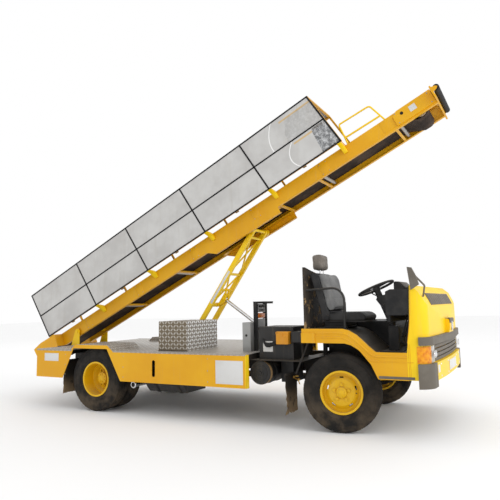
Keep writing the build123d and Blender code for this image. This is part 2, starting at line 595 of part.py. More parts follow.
def make_girder():
    """Boom girder: two flanged webs, deeper over the lift roller, their cross bars, bed and end plate."""
    web_line = [
        (TAIL_START, GIRDER_BOTTOM), (DEEP_START - DEEP_RAMP, GIRDER_BOTTOM), (DEEP_START, DEEP_BOTTOM),
        (DEEP_END, DEEP_BOTTOM), (DEEP_END, GIRDER_BOTTOM), (BOOM_END, GIRDER_BOTTOM), (BOOM_END, GIRDER_TOP),
        (TAIL_START, GIRDER_TOP),
    ]
    webs = []
    for side in (-1, 1):
        y_out = side * GIRDER_HALF
        y_web = side * (GIRDER_HALF - WEB)
        y_in = side * (GIRDER_HALF - FLANGE)
        web = side_plate(web_line, y_out, y_web)
        hole = rod_y(0, 0, y_out * 1.1, y_web * 0.9, HINGE_PIN_R + RUNNING_GAP)
        top = box(TAIL_START, BOOM_END, y_out, y_in, GIRDER_TOP - WEB, GIRDER_TOP)
        lows = [box(TAIL_START, DEEP_START - DEEP_RAMP, y_out, y_in, GIRDER_BOTTOM, GIRDER_BOTTOM + WEB),
                box(DEEP_END, BOOM_END, y_out, y_in, GIRDER_BOTTOM, GIRDER_BOTTOM + WEB),
                box(DEEP_START, DEEP_END, y_out, y_in, DEEP_BOTTOM, DEEP_BOTTOM + WEB)]
        track = box(DEEP_START - DEEP_RAMP, DEEP_END, y_web, side * (LEG_Y - 6), GIRDER_BOTTOM, GIRDER_BOTTOM + WEB)
        tail = TAIL_START - TAIL_LENGTH
        cheek = side_plate([
            (TAIL_START, GIRDER_TOP), (tail + 170, GIRDER_TOP + 8), (tail, GIRDER_TOP - 20), (tail + 26, GIRDER_BOTTOM + 23),
            (tail + 60, GIRDER_BOTTOM - 61), (tail + 226, GIRDER_BOTTOM - 61), (TAIL_START, GIRDER_BOTTOM),
        ], side * TAIL_HALF, side * (TAIL_HALF - WEB))
        wing = box(TAIL_START - WEB, TAIL_START, side * (GIRDER_HALF - WEB), side * TAIL_HALF, GIRDER_BOTTOM, GIRDER_TOP)
        low = GIRDER_BOTTOM + 20
        cover = side_plate([
            (BOOM_END - COVER_LENGTH, low), (BOOM_END - 5, low), (BOOM_END - 5, GIRDER_TOP),
            (BOOM_END - COVER_LENGTH + 65, GIRDER_TOP), (BOOM_END - COVER_LENGTH, GIRDER_TOP - 40),
        ], side * GIRDER_HALF, side * (GIRDER_HALF + 18))
        webs.append(joined([web - hole, top] + lows + [track, cheek, wing, cover]))
    made = {"girder_webs": BOOM * group(webs)}
    inner = GIRDER_HALF - WEB
    middle = DEEP_END + (BOOM_END - DEEP_END) * 0.28
    bars = [box(u - 15, u + 15, -inner, inner, GIRDER_BOTTOM + WEB, GIRDER_BOTTOM + WEB + 20)
            for u in (960, 1960, DEEP_END + 20, middle, BOOM_END - 515)]
    bars.append(box(TAIL_START - 260, HEAD_DRUM_U - 130, -inner, inner, 56, 62))
    end = [box(BOOM_END, BOOM_END + 20, -TAIL_HALF, TAIL_HALF, GIRDER_BOTTOM + 14, GIRDER_TOP - 24)]
    for side in (-1, 1):
        end.append(side_plate([
            (BOOM_END + 20, BUMPER_V - 30), (BUMPER_U, BUMPER_V - 18), (BUMPER_U + 18, BUMPER_V),
            (BUMPER_U, BUMPER_V + 18), (BOOM_END + 20, BUMPER_V + 30),
        ], side * TAIL_HALF, side * (TAIL_HALF - 8)))
    bars.append(joined(end))
    made["girder_bars"] = BOOM * group(bars)
    return made


def make_belt():
    """The endless belt, its drums and the idlers under its return run."""
    outer_r = DRUM_R + BELT_SHEET
    top = DRUM_V + outer_r
    low = DRUM_V - outer_r
    ramp = 170
    line = [
        (TAIL_DRUM_U - outer_r, top), (HEAD_DRUM_U + outer_r, top), (HEAD_DRUM_U + outer_r, low),
        (HEAD_DRUM_U - 60, low), (HEAD_DRUM_U - 60 - ramp, RETURN_V), (TAIL_DRUM_U + 60 + ramp, RETURN_V),
        (TAIL_DRUM_U + 60, low), (TAIL_DRUM_U - outer_r, low),
    ]
    face = Polygon(*line, align=None)
    drum_corners = [v for v in face.vertices() if v.X < TAIL_DRUM_U or v.X > HEAD_DRUM_U]
    face = fillet(drum_corners, outer_r - 0.5)
    inside = offset(face, -BELT_SHEET)
    ring = face - inside
    belt = extrude(Plane((0, BELT_HALF, 0), (1, 0, 0), (0, -1, 0)) * ring, 2 * BELT_HALF, dir=(0, -1, 0))
    made = {"belt": BOOM * belt}

    rollers = []
    reach = TAIL_HALF - WEB
    rollers.append(rod_y(HEAD_DRUM_U, DRUM_V, -BELT_HALF - 10, BELT_HALF + 10, DRUM_R - 0.6)
                   + rod_y(HEAD_DRUM_U, DRUM_V, -GIRDER_HALF + WEB, GIRDER_HALF - WEB, 20))
    rollers.append(rod_y(TAIL_DRUM_U, DRUM_V, -BELT_HALF - 10, BELT_HALF + 10, DRUM_R - 0.6)
                   + rod_y(TAIL_DRUM_U, DRUM_V, -reach, reach, 20))
    for u in (900, 1900, DEEP_END + (BOOM_END - DEEP_END) * 0.28 + 60, BOOM_END - 455):
        v = RETURN_V - IDLER_R - 0.3
        rollers.append(rod_y(u, v, -BELT_HALF, BELT_HALF, IDLER_R)
                       + rod_y(u, v, -GIRDER_HALF + WEB, GIRDER_HALF - WEB, 8))
    made["drums_and_idlers"] = BOOM * group(rollers)
    made["bumper_roller"] = BOOM * rod_y(BUMPER_U, BUMPER_V, -TAIL_HALF + 8.3, TAIL_HALF - 8.3, BUMPER_R)
    return made


def canopy_point(station, rise):
    """A point (u, v) on the canopy's side, rise measured up its leaning posts."""
    lean = radians(POST_LEAN)
    return (CANOPY_START_U + CANOPY_PITCH * station - rise * sin(lean), CANOPY_FOOT_V + rise * cos(lean))


def canopy_bar(rise, y):
    """A square rail along the canopy at the given rise."""
    u0, v = canopy_point(0, rise)
    u1, v = canopy_point(CANOPY_BAYS, rise)
    half = CANOPY_TUBE / 2
    return box(u0 - half, u1 + half, y - half, y + half, v - half, v + half)


def canopy_post(station, low, high, y):
    """A leaning square post that stands on one rail and ends under the next."""
    half = CANOPY_TUBE / 2
    lean = radians(POST_LEAN)
    ends = []
    for rise, step in ((low, half), (high, -half)):
        u, v = canopy_point(station, rise)
        ends.append((u - step * sin(lean) / cos(lean), v + step))
    wide = half / cos(lean)
    (u0, v0), (u1, v1) = ends
    return side_plate([(u0 - wide, v0), (u0 + wide, v0), (u1 + wide, v1), (u1 - wide, v1)], y - half, y + half)


def make_canopy():
    """Rails, leaning posts on their feet and roof bows, ten side sheets and the flat roof sheet."""
    height = LOWER_ROW + UPPER_ROW
    y_bar = CANOPY_HALF - SHEET - CANOPY_TUBE / 2
    half = CANOPY_TUBE / 2
    top = height - half - 2
    rails = [canopy_bar(top, 0)]
    posts = []
    for side, rows in ((-1, (half, LOWER_ROW, top)), (1, (half, top))):
        rails += [canopy_bar(rise, side * y_bar) for rise in rows]
        for k in range(CANOPY_BAYS + 1):
            posts += [canopy_post(k, low, high, side * y_bar) for low, high in zip(rows, rows[1:])]
    bows = []
    for k in range(CANOPY_BAYS + 1):
        u, v = canopy_point(k, top)
        for side in (-1, 1):
            bows.append(box(u - half, u + half, side * half, side * (y_bar - half), v - half, v + half))
    wall = CANOPY_HALF - SHEET
    under = canopy_point(0, half)[1] - half
    for k in range(CANOPY_BAYS + 1):
        u, v = canopy_point(k, 0)
        for side in (-1, 1):
            if k:
                outline = [
                    (side * wall, under), (side * (wall - CANOPY_TUBE), under),
                    (side * (GIRDER_HALF + 25), GIRDER_TOP + 8), (side * (GIRDER_HALF - 35), GIRDER_TOP + 8),
                    (side * (GIRDER_HALF - 35), GIRDER_TOP + 0.3), (side * (GIRDER_HALF + 30), GIRDER_TOP + 0.3),
                ]
            else:
                outline = [
                    (side * wall, under), (side * (wall - CANOPY_TUBE), under),
                    (side * (wall - CANOPY_TUBE), GIRDER_TOP + 7), (side * wall, GIRDER_TOP + 7),
                ]
            posts.append(cross_plate(outline, u - 4, u + 4))
    made = {"canopy_rails": BOOM * group(rails), "canopy_posts": BOOM * group(posts), "canopy_bows": BOOM * group(bows)}

    sheets = []
    gap = 5
    y0, y1 = -CANOPY_HALF, -CANOPY_HALF + SHEET
    for k in range(CANOPY_BAYS):
        for low, high in ((0, LOWER_ROW), (LOWER_ROW, height)):
            a = canopy_point(k, low + gap)
            b = canopy_point(k + 1, low + gap)
            c = canopy_point(k + 1, high - gap)
            d = canopy_point(k, high - gap)
            corners = [(a[0] + gap, a[1]), (b[0] - gap, b[1]), (c[0] - gap, c[1]), (d[0] + gap, d[1])]
            sheets.append(side_plate(corners, y0, y1))
    made["canopy_sheets"] = BOOM * group(sheets)
    u0, v0 = canopy_point(0, top)
    u1, v1 = canopy_point(CANOPY_BAYS, top)
    lid = v0 + half + 0.3
    made["canopy_roof"] = BOOM * box(u0 - half, u1 + half, -CANOPY_HALF, CANOPY_HALF, lid, lid + SHEET)
    return made


def make_handrail():
    """Bent hand rail on the right web near the boom's tip."""
    y = -GIRDER_HALF + 12
    foot = GIRDER_TOP + 3
    u = BOOM_END - HANDRAIL_BACK
    rail = round_bar([(u, y, foot), (u + 16, y, foot + 269), (u + 424, y, foot + 250), (u + 494, y, foot)],
                     10, [25, 45])
    mid = canopy_rod((u + 6, foot + 83), (u + 464, foot + 70), y, 11)
    return {"handrail": BOOM * joined([rail, mid])}


def canopy_rod(a, b, y, r):
    """A round bar between two (u, v) points in one upright plane."""
    length = hypot(b[0] - a[0], b[1] - a[1])
    turn = degrees(atan2(b[1] - a[1], b[0] - a[0]))
    return Location((a[0], y, a[1]), (0, -turn, 0)) * (Pos(length / 2, 0, 0) * Rot(0, 90, 0) * Cylinder(r, length))


def make_lift():
    """Lift frame: two legs, lattice, head shaft with rollers and the cheeks for the rod's eye."""
    legs = []
    eye = Vector(EYE_X - FOOT_X, 0, EYE_Z - FOOT_Z)
    turn = radians(LEG_ANGLE)
    eye_s = eye.X * cos(turn) + eye.Z * sin(turn)
    eye_t = -eye.X * sin(turn) + eye.Z * cos(turn)
    for side in (-1, 1):
        y0, y1 = side * (LEG_Y - LEG_W / 2), side * (LEG_Y + LEG_W / 2)
        leg = box(0, LEG_LENGTH, y0, y1, -LEG_D / 2, LEG_D / 2)
        ends = [rod_y(0, 0, y0, y1, LEG_D / 2 + 4), rod_y(LEG_LENGTH, 0, y0, y1, LEG_D / 2)]
        hole = rod_y(0, 0, y0 * 0.9, y1 * 1.1, PIN_R + RUNNING_GAP)
        legs.append(joined([leg] + ends) - hole)
    inner = LEG_Y - LEG_W / 2
    rungs = [150, LEG_LENGTH * 0.33, LEG_LENGTH * 0.605, LEG_LENGTH - 110]
    bars = [box(s - 12, s + 12, -inner, inner, -14, 14) for s in rungs]
    for s0, s1 in ((rungs[1] + 8, rungs[2] - 8), (rungs[2] + 8, rungs[3] - 8)):
        length = hypot(s1 - s0, 2 * inner)
        turn_z = degrees(atan2(2 * inner, s1 - s0))
        for side in (-1, 1):
            bar = box(0, length, -8, 8, -8, 8)
            lift = 9 if side > 0 else -9
            bars.append(Location((s0, -side * inner, lift), (0, 0, side * turn_z)) * bar)
    shaft = rod_y(LEG_LENGTH, 0, -LEG_Y - 55, LEG_Y + 55, 20)
    rollers = [rod_y(LEG_LENGTH, 0, side * (LEG_Y + LEG_W / 2 + 4), side * (LEG_Y + LEG_W / 2 + 34), ROLLER_R)
               for side in (-1, 1)]
    cheeks = []
    for side in (-1, 1):
        y0 = side * (EYE_HALF + CHEEK_GAP)
        outline = [
            (eye_s - 150, -26), (eye_s + 130, -26), (eye_s + 40, eye_t - 20), (eye_s + 14, eye_t - 36),
            (eye_s - 30, eye_t - 30),
        ]
        cheeks.append(side_plate(outline, y0, y0 + side * 12))
        cheeks.append(rod_y(eye_s, eye_t, y0, y0 + side * 26, PIN_R))
    ties = [box(s - 14, s + 14, -inner, inner, -26, -2) for s in (eye_s - 130, eye_s + 112)]
    whole = joined(legs + bars + [shaft] + rollers + cheeks + ties)
    return {"lift_frame": LIFT * whole}


def make_cylinder():
    """Lift cylinder: barrel on the chassis pin, bright rod with its eye between the cheeks."""
    eye = rod_y(0, 0, -EYE_HALF, EYE_HALF, EYE_R + 6)
    neck = rod_x(0, 0, 0, 60, 28)
    tube = rod_x(0, 0, 55, BARREL_LENGTH, BARREL_R)
    bore = rod_x(0, 0, 90, BARREL_LENGTH + 1, ROD_R + RUNNING_GAP)
    hole = rod_y(0, 0, -EYE_HALF - 8, EYE_HALF + 8, PIN_R + RUNNING_GAP)
    made = {"cylinder_barrel": RAM * (joined([eye, neck, tube]) - bore - hole)}
    start = BARREL_LENGTH - 120
    rod = rod_x(0, 0, start, CYLINDER_LENGTH - 20, ROD_R)
    top_eye = rod_y(CYLINDER_LENGTH, 0, -EYE_HALF, EYE_HALF, EYE_R)
    top_hole = rod_y(CYLINDER_LENGTH, 0, -EYE_HALF - 1, EYE_HALF + 1, PIN_R + 2)
    made["cylinder_rod"] = RAM * (joined([rod, top_eye]) - top_hole)
    return made


def make_cab_body():
    """Fenders with door sills, the floor between them, the cowl and its trim."""
    made = {}
    arch_edge = [(60, FENDER_TOP), (125, FENDER_TOP - 14), (208, FENDER_TOP - 61), (270, FENDER_TOP - 117)]
    top_line = [(CAB_REAR, FENDER_TOP)] + arch_edge + [(321, SILL_TOP + 57), (390, SILL_TOP), (COWL_REAR, SILL_TOP)]
    low_line = [(COWL_REAR, SILL_BOTTOM), (405, SILL_BOTTOM), (341, 683), (231, 813), (150, FENDER_BOTTOM - 17),
                (85, FENDER_BOTTOM), (CAB_REAR, FENDER_BOTTOM)]
    wings = []
    for side in (-1, 1):
        wing = side_plate(top_line + low_line, side * CAB_HALF, side * (CAB_HALF - FENDER_SKIN))
        end = box(CAB_REAR, CAB_REAR + 149, side * (CAB_HALF - 10), side * (CAB_HALF + 10),
                  FENDER_BOTTOM, FENDER_TOP - 42)
        wings.append(wing + end)
    made["fenders"] = group(wings)
    y_in = CAB_HALF - FENDER_SKIN - 0.3
    pan_top = [(CAB_REAR, FENDER_TOP - 6), (58, FENDER_TOP - 6), (121, FENDER_TOP - 20), (203, FENDER_TOP - 67),
               (264, FENDER_TOP - 123), (315, SILL_TOP + 51), (386, SILL_TOP - 6), (COWL_REAR - 0.3, SILL_TOP - 6)]
    pan_low = [(x, z - 18) for x, z in pan_top]
    pan = side_plate(pan_top + pan_low[::-1], -y_in, y_in)
    made["floor_pan"] = pan - box(CAB_REAR - 1, 474, -HUMP_HALF, HUMP_HALF, SILL_TOP - 50, FENDER_TOP + 50)
    foot = SILL_TOP - 20
    hump_line = [(CAB_REAR, foot), (CAB_REAR, HUMP_TOP), (397, HUMP_TOP), (473, HUMP_TOP - 80), (457, 878), (457, foot)]
    hump = side_plate(hump_line, -HUMP_HALF + 0.3, HUMP_HALF - 0.3)
    hollow_line = [(CAB_REAR - 1, foot - 1), (CAB_REAR - 1, HUMP_TOP - 20), (388, HUMP_TOP - 20),
                   (452, HUMP_TOP - 87), (437, 872), (437, foot - 1)]
    made["engine_cover"] = hump - side_plate(hollow_line, -HUMP_HALF + 20, HUMP_HALF - 20)

    r = COWL_CORNER
    plan = make_face([
        Line((COWL_REAR, -CAB_HALF), (COWL_FRONT - r, -CAB_HALF)),
        TangentArc((COWL_FRONT - r, -CAB_HALF), (COWL_FRONT - 20, -CAB_HALF + r), tangent=(1, 0)),
        ThreePointArc((COWL_FRONT - 20, -CAB_HALF + r), (COWL_FRONT + 15, 0), (COWL_FRONT - 20, CAB_HALF - r)),
        TangentArc((COWL_FRONT - r, CAB_HALF), (COWL_FRONT - 20, CAB_HALF - r), tangent=(1, 0)),
        Line((COWL_FRONT - r, CAB_HALF), (COWL_REAR, CAB_HALF)),
        Line((COWL_REAR, CAB_HALF), (COWL_REAR, -CAB_HALF)),
    ])
    back = [(COWL_REAR, SILL_BOTTOM), (COWL_REAR, SILL_TOP), (COWL_REAR + 35, 1081), (COWL_REAR + 52, COWL_TOP)]
    slope = [(COWL_REAR + 123, COWL_TOP - 58), (COWL_REAR + 171, COWL_TOP - 147), (COWL_REAR + 203, COWL_TOP - 213),
             (COWL_FRONT + 16, COWL_TOP - 329)]
    profile = back + slope + [(COWL_FRONT + 16, SILL_BOTTOM)]
    w = COWL_WALL
    inner_profile = [(COWL_REAR + 52, COWL_TOP - w)] + [(x - w, z - 12) for x, z in slope]
    inner_profile += [(COWL_FRONT + 16, SILL_BOTTOM - 1), (COWL_REAR - 1, SILL_BOTTOM - 1)]
    inner_profile += [(COWL_REAR - 1, COWL_TOP - w)]
    height = COWL_TOP - SILL_BOTTOM
    outer = extrude(Pos(0, 0, SILL_BOTTOM) * plan, height, dir=(0, 0, 1)) & side_plate(profile, -CAB_HALF, CAB_HALF)
    inner_plan = offset(plan, -w)
    inside = CAB_HALF - w
    cavity = extrude(Pos(0, 0, SILL_BOTTOM - 1) * inner_plan, height + 2, dir=(0, 0, 1))
    cavity = cavity & side_plate(inner_profile, -inside, inside)
    behind = side_plate([(COWL_REAR - 1, SILL_BOTTOM - 1), (COWL_REAR + 80, SILL_BOTTOM - 1),
                         (COWL_REAR + 80, COWL_TOP - w - 60), (COWL_REAR + 52, COWL_TOP - w),
                         (COWL_REAR - 1, COWL_TOP - w)], -inside, inside)
    window = box(COWL_REAR + 40, COWL_FRONT + 60, -GRILLE_HALF, GRILLE_HALF, GRILLE_BOTTOM, GRILLE_TOP)
    nose = side_plate([(COWL_FRONT - 10, BAND_TOP - 4), (COWL_FRONT + 52, BAND_TOP - 4), (COWL_FRONT + 63, 1010),
                       (COWL_FRONT + 58, 1078), (COWL_FRONT + 40, 1090), (COWL_FRONT - 10, 1090)],
                      -NOSE_HALF, NOSE_HALF)
    made["cowl"] = outer + nose - cavity - behind - window

    pitch = (GRILLE_TOP - GRILLE_BOTTOM - 4) / SLAT_COUNT
    face = offset(plan, 4) - offset(plan, -18)
    rear = offset(plan, -10) - offset(plan, -22)
    clip = box(COWL_FRONT - 60, COWL_FRONT + 60, -GRILLE_HALF + 0.3, GRILLE_HALF - 0.3, GRILLE_BOTTOM, GRILLE_TOP)
    slats = [extrude(Pos(0, 0, GRILLE_BOTTOM + 4 + pitch * k) * face, pitch - 12, dir=(0, 0, 1)) & clip
             for k in range(SLAT_COUNT)]
    bars = extrude(Pos(0, 0, GRILLE_BOTTOM + 0.3) * rear, GRILLE_TOP - GRILLE_BOTTOM - 0.6, dir=(0, 0, 1))
    posts = [bars & box(COWL_FRONT - 60, COWL_FRONT + 60, y - 9, y + 9, GRILLE_BOTTOM, GRILLE_TOP)
             for y in (-GRILLE_HALF + 12, 0, GRILLE_HALF - 12)]
    band = extrude(Pos(0, 0, GRILLE_TOP) * (offset(plan, BAND_PROUD) - plan), BAND_TOP - GRILLE_TOP - 5, dir=(0, 0, 1))
    band = band & box(COWL_FRONT - 102, COWL_FRONT + 95, -CAB_HALF - 50, CAB_HALF + 50, GRILLE_TOP, BAND_TOP)
    made["grille"] = group([joined(slats + posts), band])

    proud = offset(plan, LAMP_PROUD) - plan
    wrap = extrude(Pos(0, 0, GRILLE_BOTTOM + 3) * proud, GRILLE_TOP - GRILLE_BOTTOM - 14, dir=(0, 0, 1))
    corner = []
    lamps = []
    for side in (-1, 1):
        corner.append(wrap & box(COWL_FRONT - 122, COWL_FRONT + 5, side * (CAB_HALF - 115), side * (CAB_HALF + 100),
                                 GRILLE_BOTTOM, GRILLE_TOP))
        lamps.append(wrap & box(COWL_FRONT - 65, COWL_FRONT + 95, side * (GRILLE_HALF + 15), side * (CAB_HALF - 121),
                                GRILLE_BOTTOM, GRILLE_TOP))
    made["lamps"] = group(corner + lamps)
    ring = offset(plan, BUMPER_PROUD) - plan
    split = CAB_HALF - 220
    tall = extrude(Pos(0, 0, CORNER_LOW) * ring, BUMPER_HIGH - CORNER_LOW, dir=(0, 0, 1))
    ends = [tall & box(COWL_FRONT - 114, COWL_FRONT + 95, side * split, side * (CAB_HALF + 100), 400, 800)
            for side in (-1, 1)]
    made["bumper_corners"] = group(ends)
    guard = extrude(Pos(0, 0, BUMPER_LOW) * ring, BUMPER_HIGH - BUMPER_LOW, dir=(0, 0, 1))
    made["bumper_face"] = guard & box(COWL_FRONT - 105, COWL_FRONT + 95, -split + 0.3, split - 0.3, 500, 800)
    return made


def make_cab_fittings():
    """Dash, steering, seat, the board and hoop behind it, and the mirror."""
    made = {}
    inside = CAB_HALF - COWL_WALL - 0.3
    dash_line = [(DASH_REAR, 1150), (DASH_REAR, DASH_TOP - 21), (DASH_REAR + 47, DASH_TOP), (COWL_REAR + 30, DASH_TOP),
                 (COWL_REAR + 50, DASH_TOP - 20), (COWL_REAR + 50, 1200), (COWL_REAR, 1150)]
    binnacle = side_plate([(DASH_REAR + 47, DASH_TOP - 5), (DASH_REAR + 47, DASH_TOP + 75), (DASH_REAR + 115, DASH_TOP + 52),
                           (DASH_REAR + 150, DASH_TOP - 5)], STEERING_Y - 180, STEERING_Y + 180)
    made["dash"] = side_plate(dash_line, -inside, inside) + binnacle
    tilt = radians(STEERING_TILT)
    low = (STEERING_X + COLUMN_LENGTH * sin(tilt), STEERING_Z - COLUMN_LENGTH * cos(tilt))
    high = (STEERING_X + 28.3 * sin(tilt), STEERING_Z - 28.3 * cos(tilt))
    column = canopy_rod(high, low, STEERING_Y, 32)
    foot = box(low[0] - 40, low[0] + 60, STEERING_Y - 40, STEERING_Y + 40, SILL_TOP - 6, low[1])
    shroud = side_plate([(STEERING_X + 9, STEERING_Z - 120), (STEERING_X + 27, STEERING_Z - 79),
                         (DASH_REAR - 0.3, STEERING_Z - 60), (DASH_REAR - 0.3, STEERING_Z - 270),
                         (STEERING_X + 139, STEERING_Z - 331), (STEERING_X + 132, STEERING_Z - 284)],
                        STEERING_Y - 60, STEERING_Y + 60)
    made["steering_column"] = column + foot + shroud
    ring = Torus(STEERING_R - 13, 13)
    spokes = [Rot(0, 0, 90 + 120 * k) * box(20, STEERING_R - 10, -12, 12, -8, 4) for k in range(3)]
    hub = rod_z(0, 0, -28, 6, 38)
    wheel = joined([ring, hub] + spokes)
    made["steering_wheel"] = Location((STEERING_X, STEERING_Y, STEERING_Z), (0, -STEERING_TILT, 0)) * wheel

    cushion = side_plate([(-200, CUSHION_LOW), (-200, CUSHION_TOP), (230, CUSHION_TOP), (275, CUSHION_TOP - 20),
                          (290, CUSHION_TOP - 55), (270, CUSHION_LOW)], SEAT_Y - 235, SEAT_Y + 235)
    base = box(-190, 50, SEAT_Y - 200, SEAT_Y + 200, FENDER_TOP - 6, CUSHION_LOW)
    back = side_plate([(-55, CUSHION_TOP), (-141, 1551), (-166, 1612), (-300, 1612), (-334, 1585), (-200, CUSHION_TOP),
                       (-200, CUSHION_LOW), (-120, CUSHION_LOW)], SEAT_Y - 230, SEAT_Y + 230)
    headrest = box(-348, -222, SEAT_Y - 100, SEAT_Y + 100, 1635, 1810)
    stems = [rod_z(-270, SEAT_Y + y, 1605, 1640, 8) for y in (-50, 50)]
    made["seat"] = joined([cushion, base, back, headrest] + stems)

    board_x = CAB_REAR + 20
    near, floor, step = -CAB_HALF + 100, FENDER_TOP - 6, HUMP_HALF + 0.3
    board_line = [
        (near, floor), (near, 1664), (near + 143, 1639), (near + 430, 1600), (near + 570, 1437), (-49, 1437),
        (284, 1392), (400, 1320), (427, 1270), (427, floor), (step, floor), (step, HUMP_TOP + 0.3),
        (-step, HUMP_TOP + 0.3), (-step, floor),
    ]
    made["backboard"] = cross_plate(board_line, board_x - 30, board_x)
    y = near + 12
    made["side_hoop"] = round_bar([(board_x + 1, y, 1418), (66, y, 1440), (56, y, FENDER_TOP - 5.7)], 12, [130])
    plate = side_plate([(COWL_REAR + 46, COWL_TOP + 171), (COWL_REAR + 87, COWL_TOP + 164),
                        (COWL_REAR + 128, COWL_TOP + 78), (COWL_REAR + 148, COWL_TOP + 2),
                        (COWL_REAR + 71, COWL_TOP - 46)], -CAB_HALF - 30, -CAB_HALF - 0.3)
    arm = round_bar([(COWL_REAR + 110, -CAB_HALF - 12, COWL_TOP + 90), (COWL_REAR + 186, -CAB_HALF + 60, COWL_TOP - 8),
                     (COWL_REAR + 159.6, -CAB_HALF + 100.6, COWL_TOP - 110.5)], 9, [30])
    made["door_mirror"] = plate + arm
    made["engine_block"] = box(-350, 300, -270, 270, 440, 900)
    return made


def make_behind_cab():
    """What stands between the cab and the deck, and what hangs under them."""
    made = {}
    x = DECK_FRONT - 130
    near, far = -CAB_HALF + 380, -CAB_HALF + 660
    stand = joined([
        box(x, x + 40, near, near + 40, DECK_TOP, 1290), box(x, x + 40, far - 40, far, DECK_TOP, 1290),
        box(x, x + 120, near, far, 1290, 1310),
    ])
    cabinet = box(x - 105, x - 0.3, near - 80, far - 60, DECK_TOP, 1077)
    made["controls"] = group([stand, cabinet])
    made["side_boxes"] = group([
        box(DECK_FRONT + 60, CAB_REAR - 160, -CAB_HALF + 150, -CAB_HALF + 570, SHELF_TOP, 1034),
        box(CAB_REAR - 327, CAB_REAR - 186, -CAB_HALF + 70, -CAB_HALF + 149.7, 855, 984),
        box(CAB_REAR - 159.7, CAB_REAR - 29, -CAB_HALF + 100, -CAB_HALF + 280, 875, 986),
        box(DRUM_X + 145, DRUM_X + 290, -CAB_HALF + 300, -RAIL_OUT - 30, 430, RAIL_TOP - 0.3),
    ])
    low = RAIL_BOTTOM - 250
    tank_line = [(-CAB_HALF + 50, RAIL_BOTTOM), (-CAB_HALF + 50, low + 90), (-CAB_HALF + 130, low),
                 (-RAIL_OUT - 80, low), (-RAIL_OUT - 80, RAIL_BOTTOM)]
    made["tanks"] = group([
        rod_y(DRUM_X, 549, -CAB_HALF + 70, -RAIL_OUT - 30, DRUM_R_AIR),
        cross_plate(tank_line, TANK_STRAPS[0] - 70, TANK_STRAPS[1] + 70),
    ])
    made["exhaust_pipe"] = rod_y(REAR_AXLE_X + 612, 345, -CAB_HALF + 20, -RAIL_OUT - 40, 30)
    flaps = []
    hang = FRONT_AXLE_X - SPRING_HALF - 40
    for side in (-1, 1):
        flaps.append(box(hang - 6, hang, side * (CAB_HALF - 40), side * (CAB_HALF - 360), 125, 550))
        flaps.append(box(REAR_AXLE_X - 564, REAR_AXLE_X - 558, side * (SKIRT_Y - 60), side * (SKIRT_Y - 490), 180, 600))
    made["mudflaps"] = group(flaps)
    return made


pieces = {}
for make in (make_wheels, make_running_gear, make_chassis, make_brackets, make_deck, make_girder, make_belt,
             make_canopy, make_handrail, make_lift, make_cylinder, make_cab_body, make_cab_fittings,
             make_behind_cab):
    pieces.update(make())
pieces["tie_rod"] = make_tie_rod()

boxes = [piece.bounding_box() for piece in pieces.values()]
SHIFT_X = -(min(b.min.X for b in boxes) + max(b.max.X for b in boxes)) / 2
SHIFT_Z = TYRE_R - AXLE_Z

os.makedirs("parts", exist_ok=True)
for name, piece in pieces.items():
    export_step(Pos(SHIFT_X, 0, SHIFT_Z) * piece, "parts/" + name + ".step")
print("shift", SHIFT_X)
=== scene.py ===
import bpy
import bmesh
import random
from math import atan2, cos, hypot, pi, radians, sin
from mathutils import Matrix, Vector


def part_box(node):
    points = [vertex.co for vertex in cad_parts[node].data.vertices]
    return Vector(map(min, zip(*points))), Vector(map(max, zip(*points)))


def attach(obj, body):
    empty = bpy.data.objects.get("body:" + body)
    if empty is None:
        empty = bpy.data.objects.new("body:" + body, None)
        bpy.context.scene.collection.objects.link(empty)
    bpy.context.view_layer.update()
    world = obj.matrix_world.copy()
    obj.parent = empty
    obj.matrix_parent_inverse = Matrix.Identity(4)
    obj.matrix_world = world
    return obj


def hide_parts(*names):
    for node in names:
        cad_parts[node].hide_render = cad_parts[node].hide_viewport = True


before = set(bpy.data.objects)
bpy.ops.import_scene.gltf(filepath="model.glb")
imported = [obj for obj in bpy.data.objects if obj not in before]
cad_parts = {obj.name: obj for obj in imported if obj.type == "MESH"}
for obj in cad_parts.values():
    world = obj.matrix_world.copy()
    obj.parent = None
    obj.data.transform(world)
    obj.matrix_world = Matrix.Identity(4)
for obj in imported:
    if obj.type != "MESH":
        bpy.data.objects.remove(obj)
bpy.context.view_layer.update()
random.seed(7)

# The loader's own frame, in millimetres: forward from just ahead of the front axle, to the left, and up.
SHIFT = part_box("deck_sheets")[0][0] + 4.230
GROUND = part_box("tyres_rear_right")[0][2] + 0.011
BOOM_ANGLE = radians(25.8)
HINGE = (-4280, 940)


def at(x, y, z):
    """A place on the vehicle."""
    return Vector((x / 1000 + SHIFT, y / 1000, z / 1000 + GROUND))


def on_boom(u, y, v):
    """A place on the boom: u along it from the hinge, v square to it."""
    x = HINGE[0] + u * cos(BOOM_ANGLE) - v * sin(BOOM_ANGLE)
    z = HINGE[1] + u * sin(BOOM_ANGLE) + v * cos(BOOM_ANGLE)
    return at(x, y, z)


def canopy_uv(station, rise):
    """A place on the canopy's side, as (u, v) on the boom."""
    lean = radians(7.7)
    return -443 + 1039 * station - rise * sin(lean), 138 + rise * cos(lean)


# Finishes

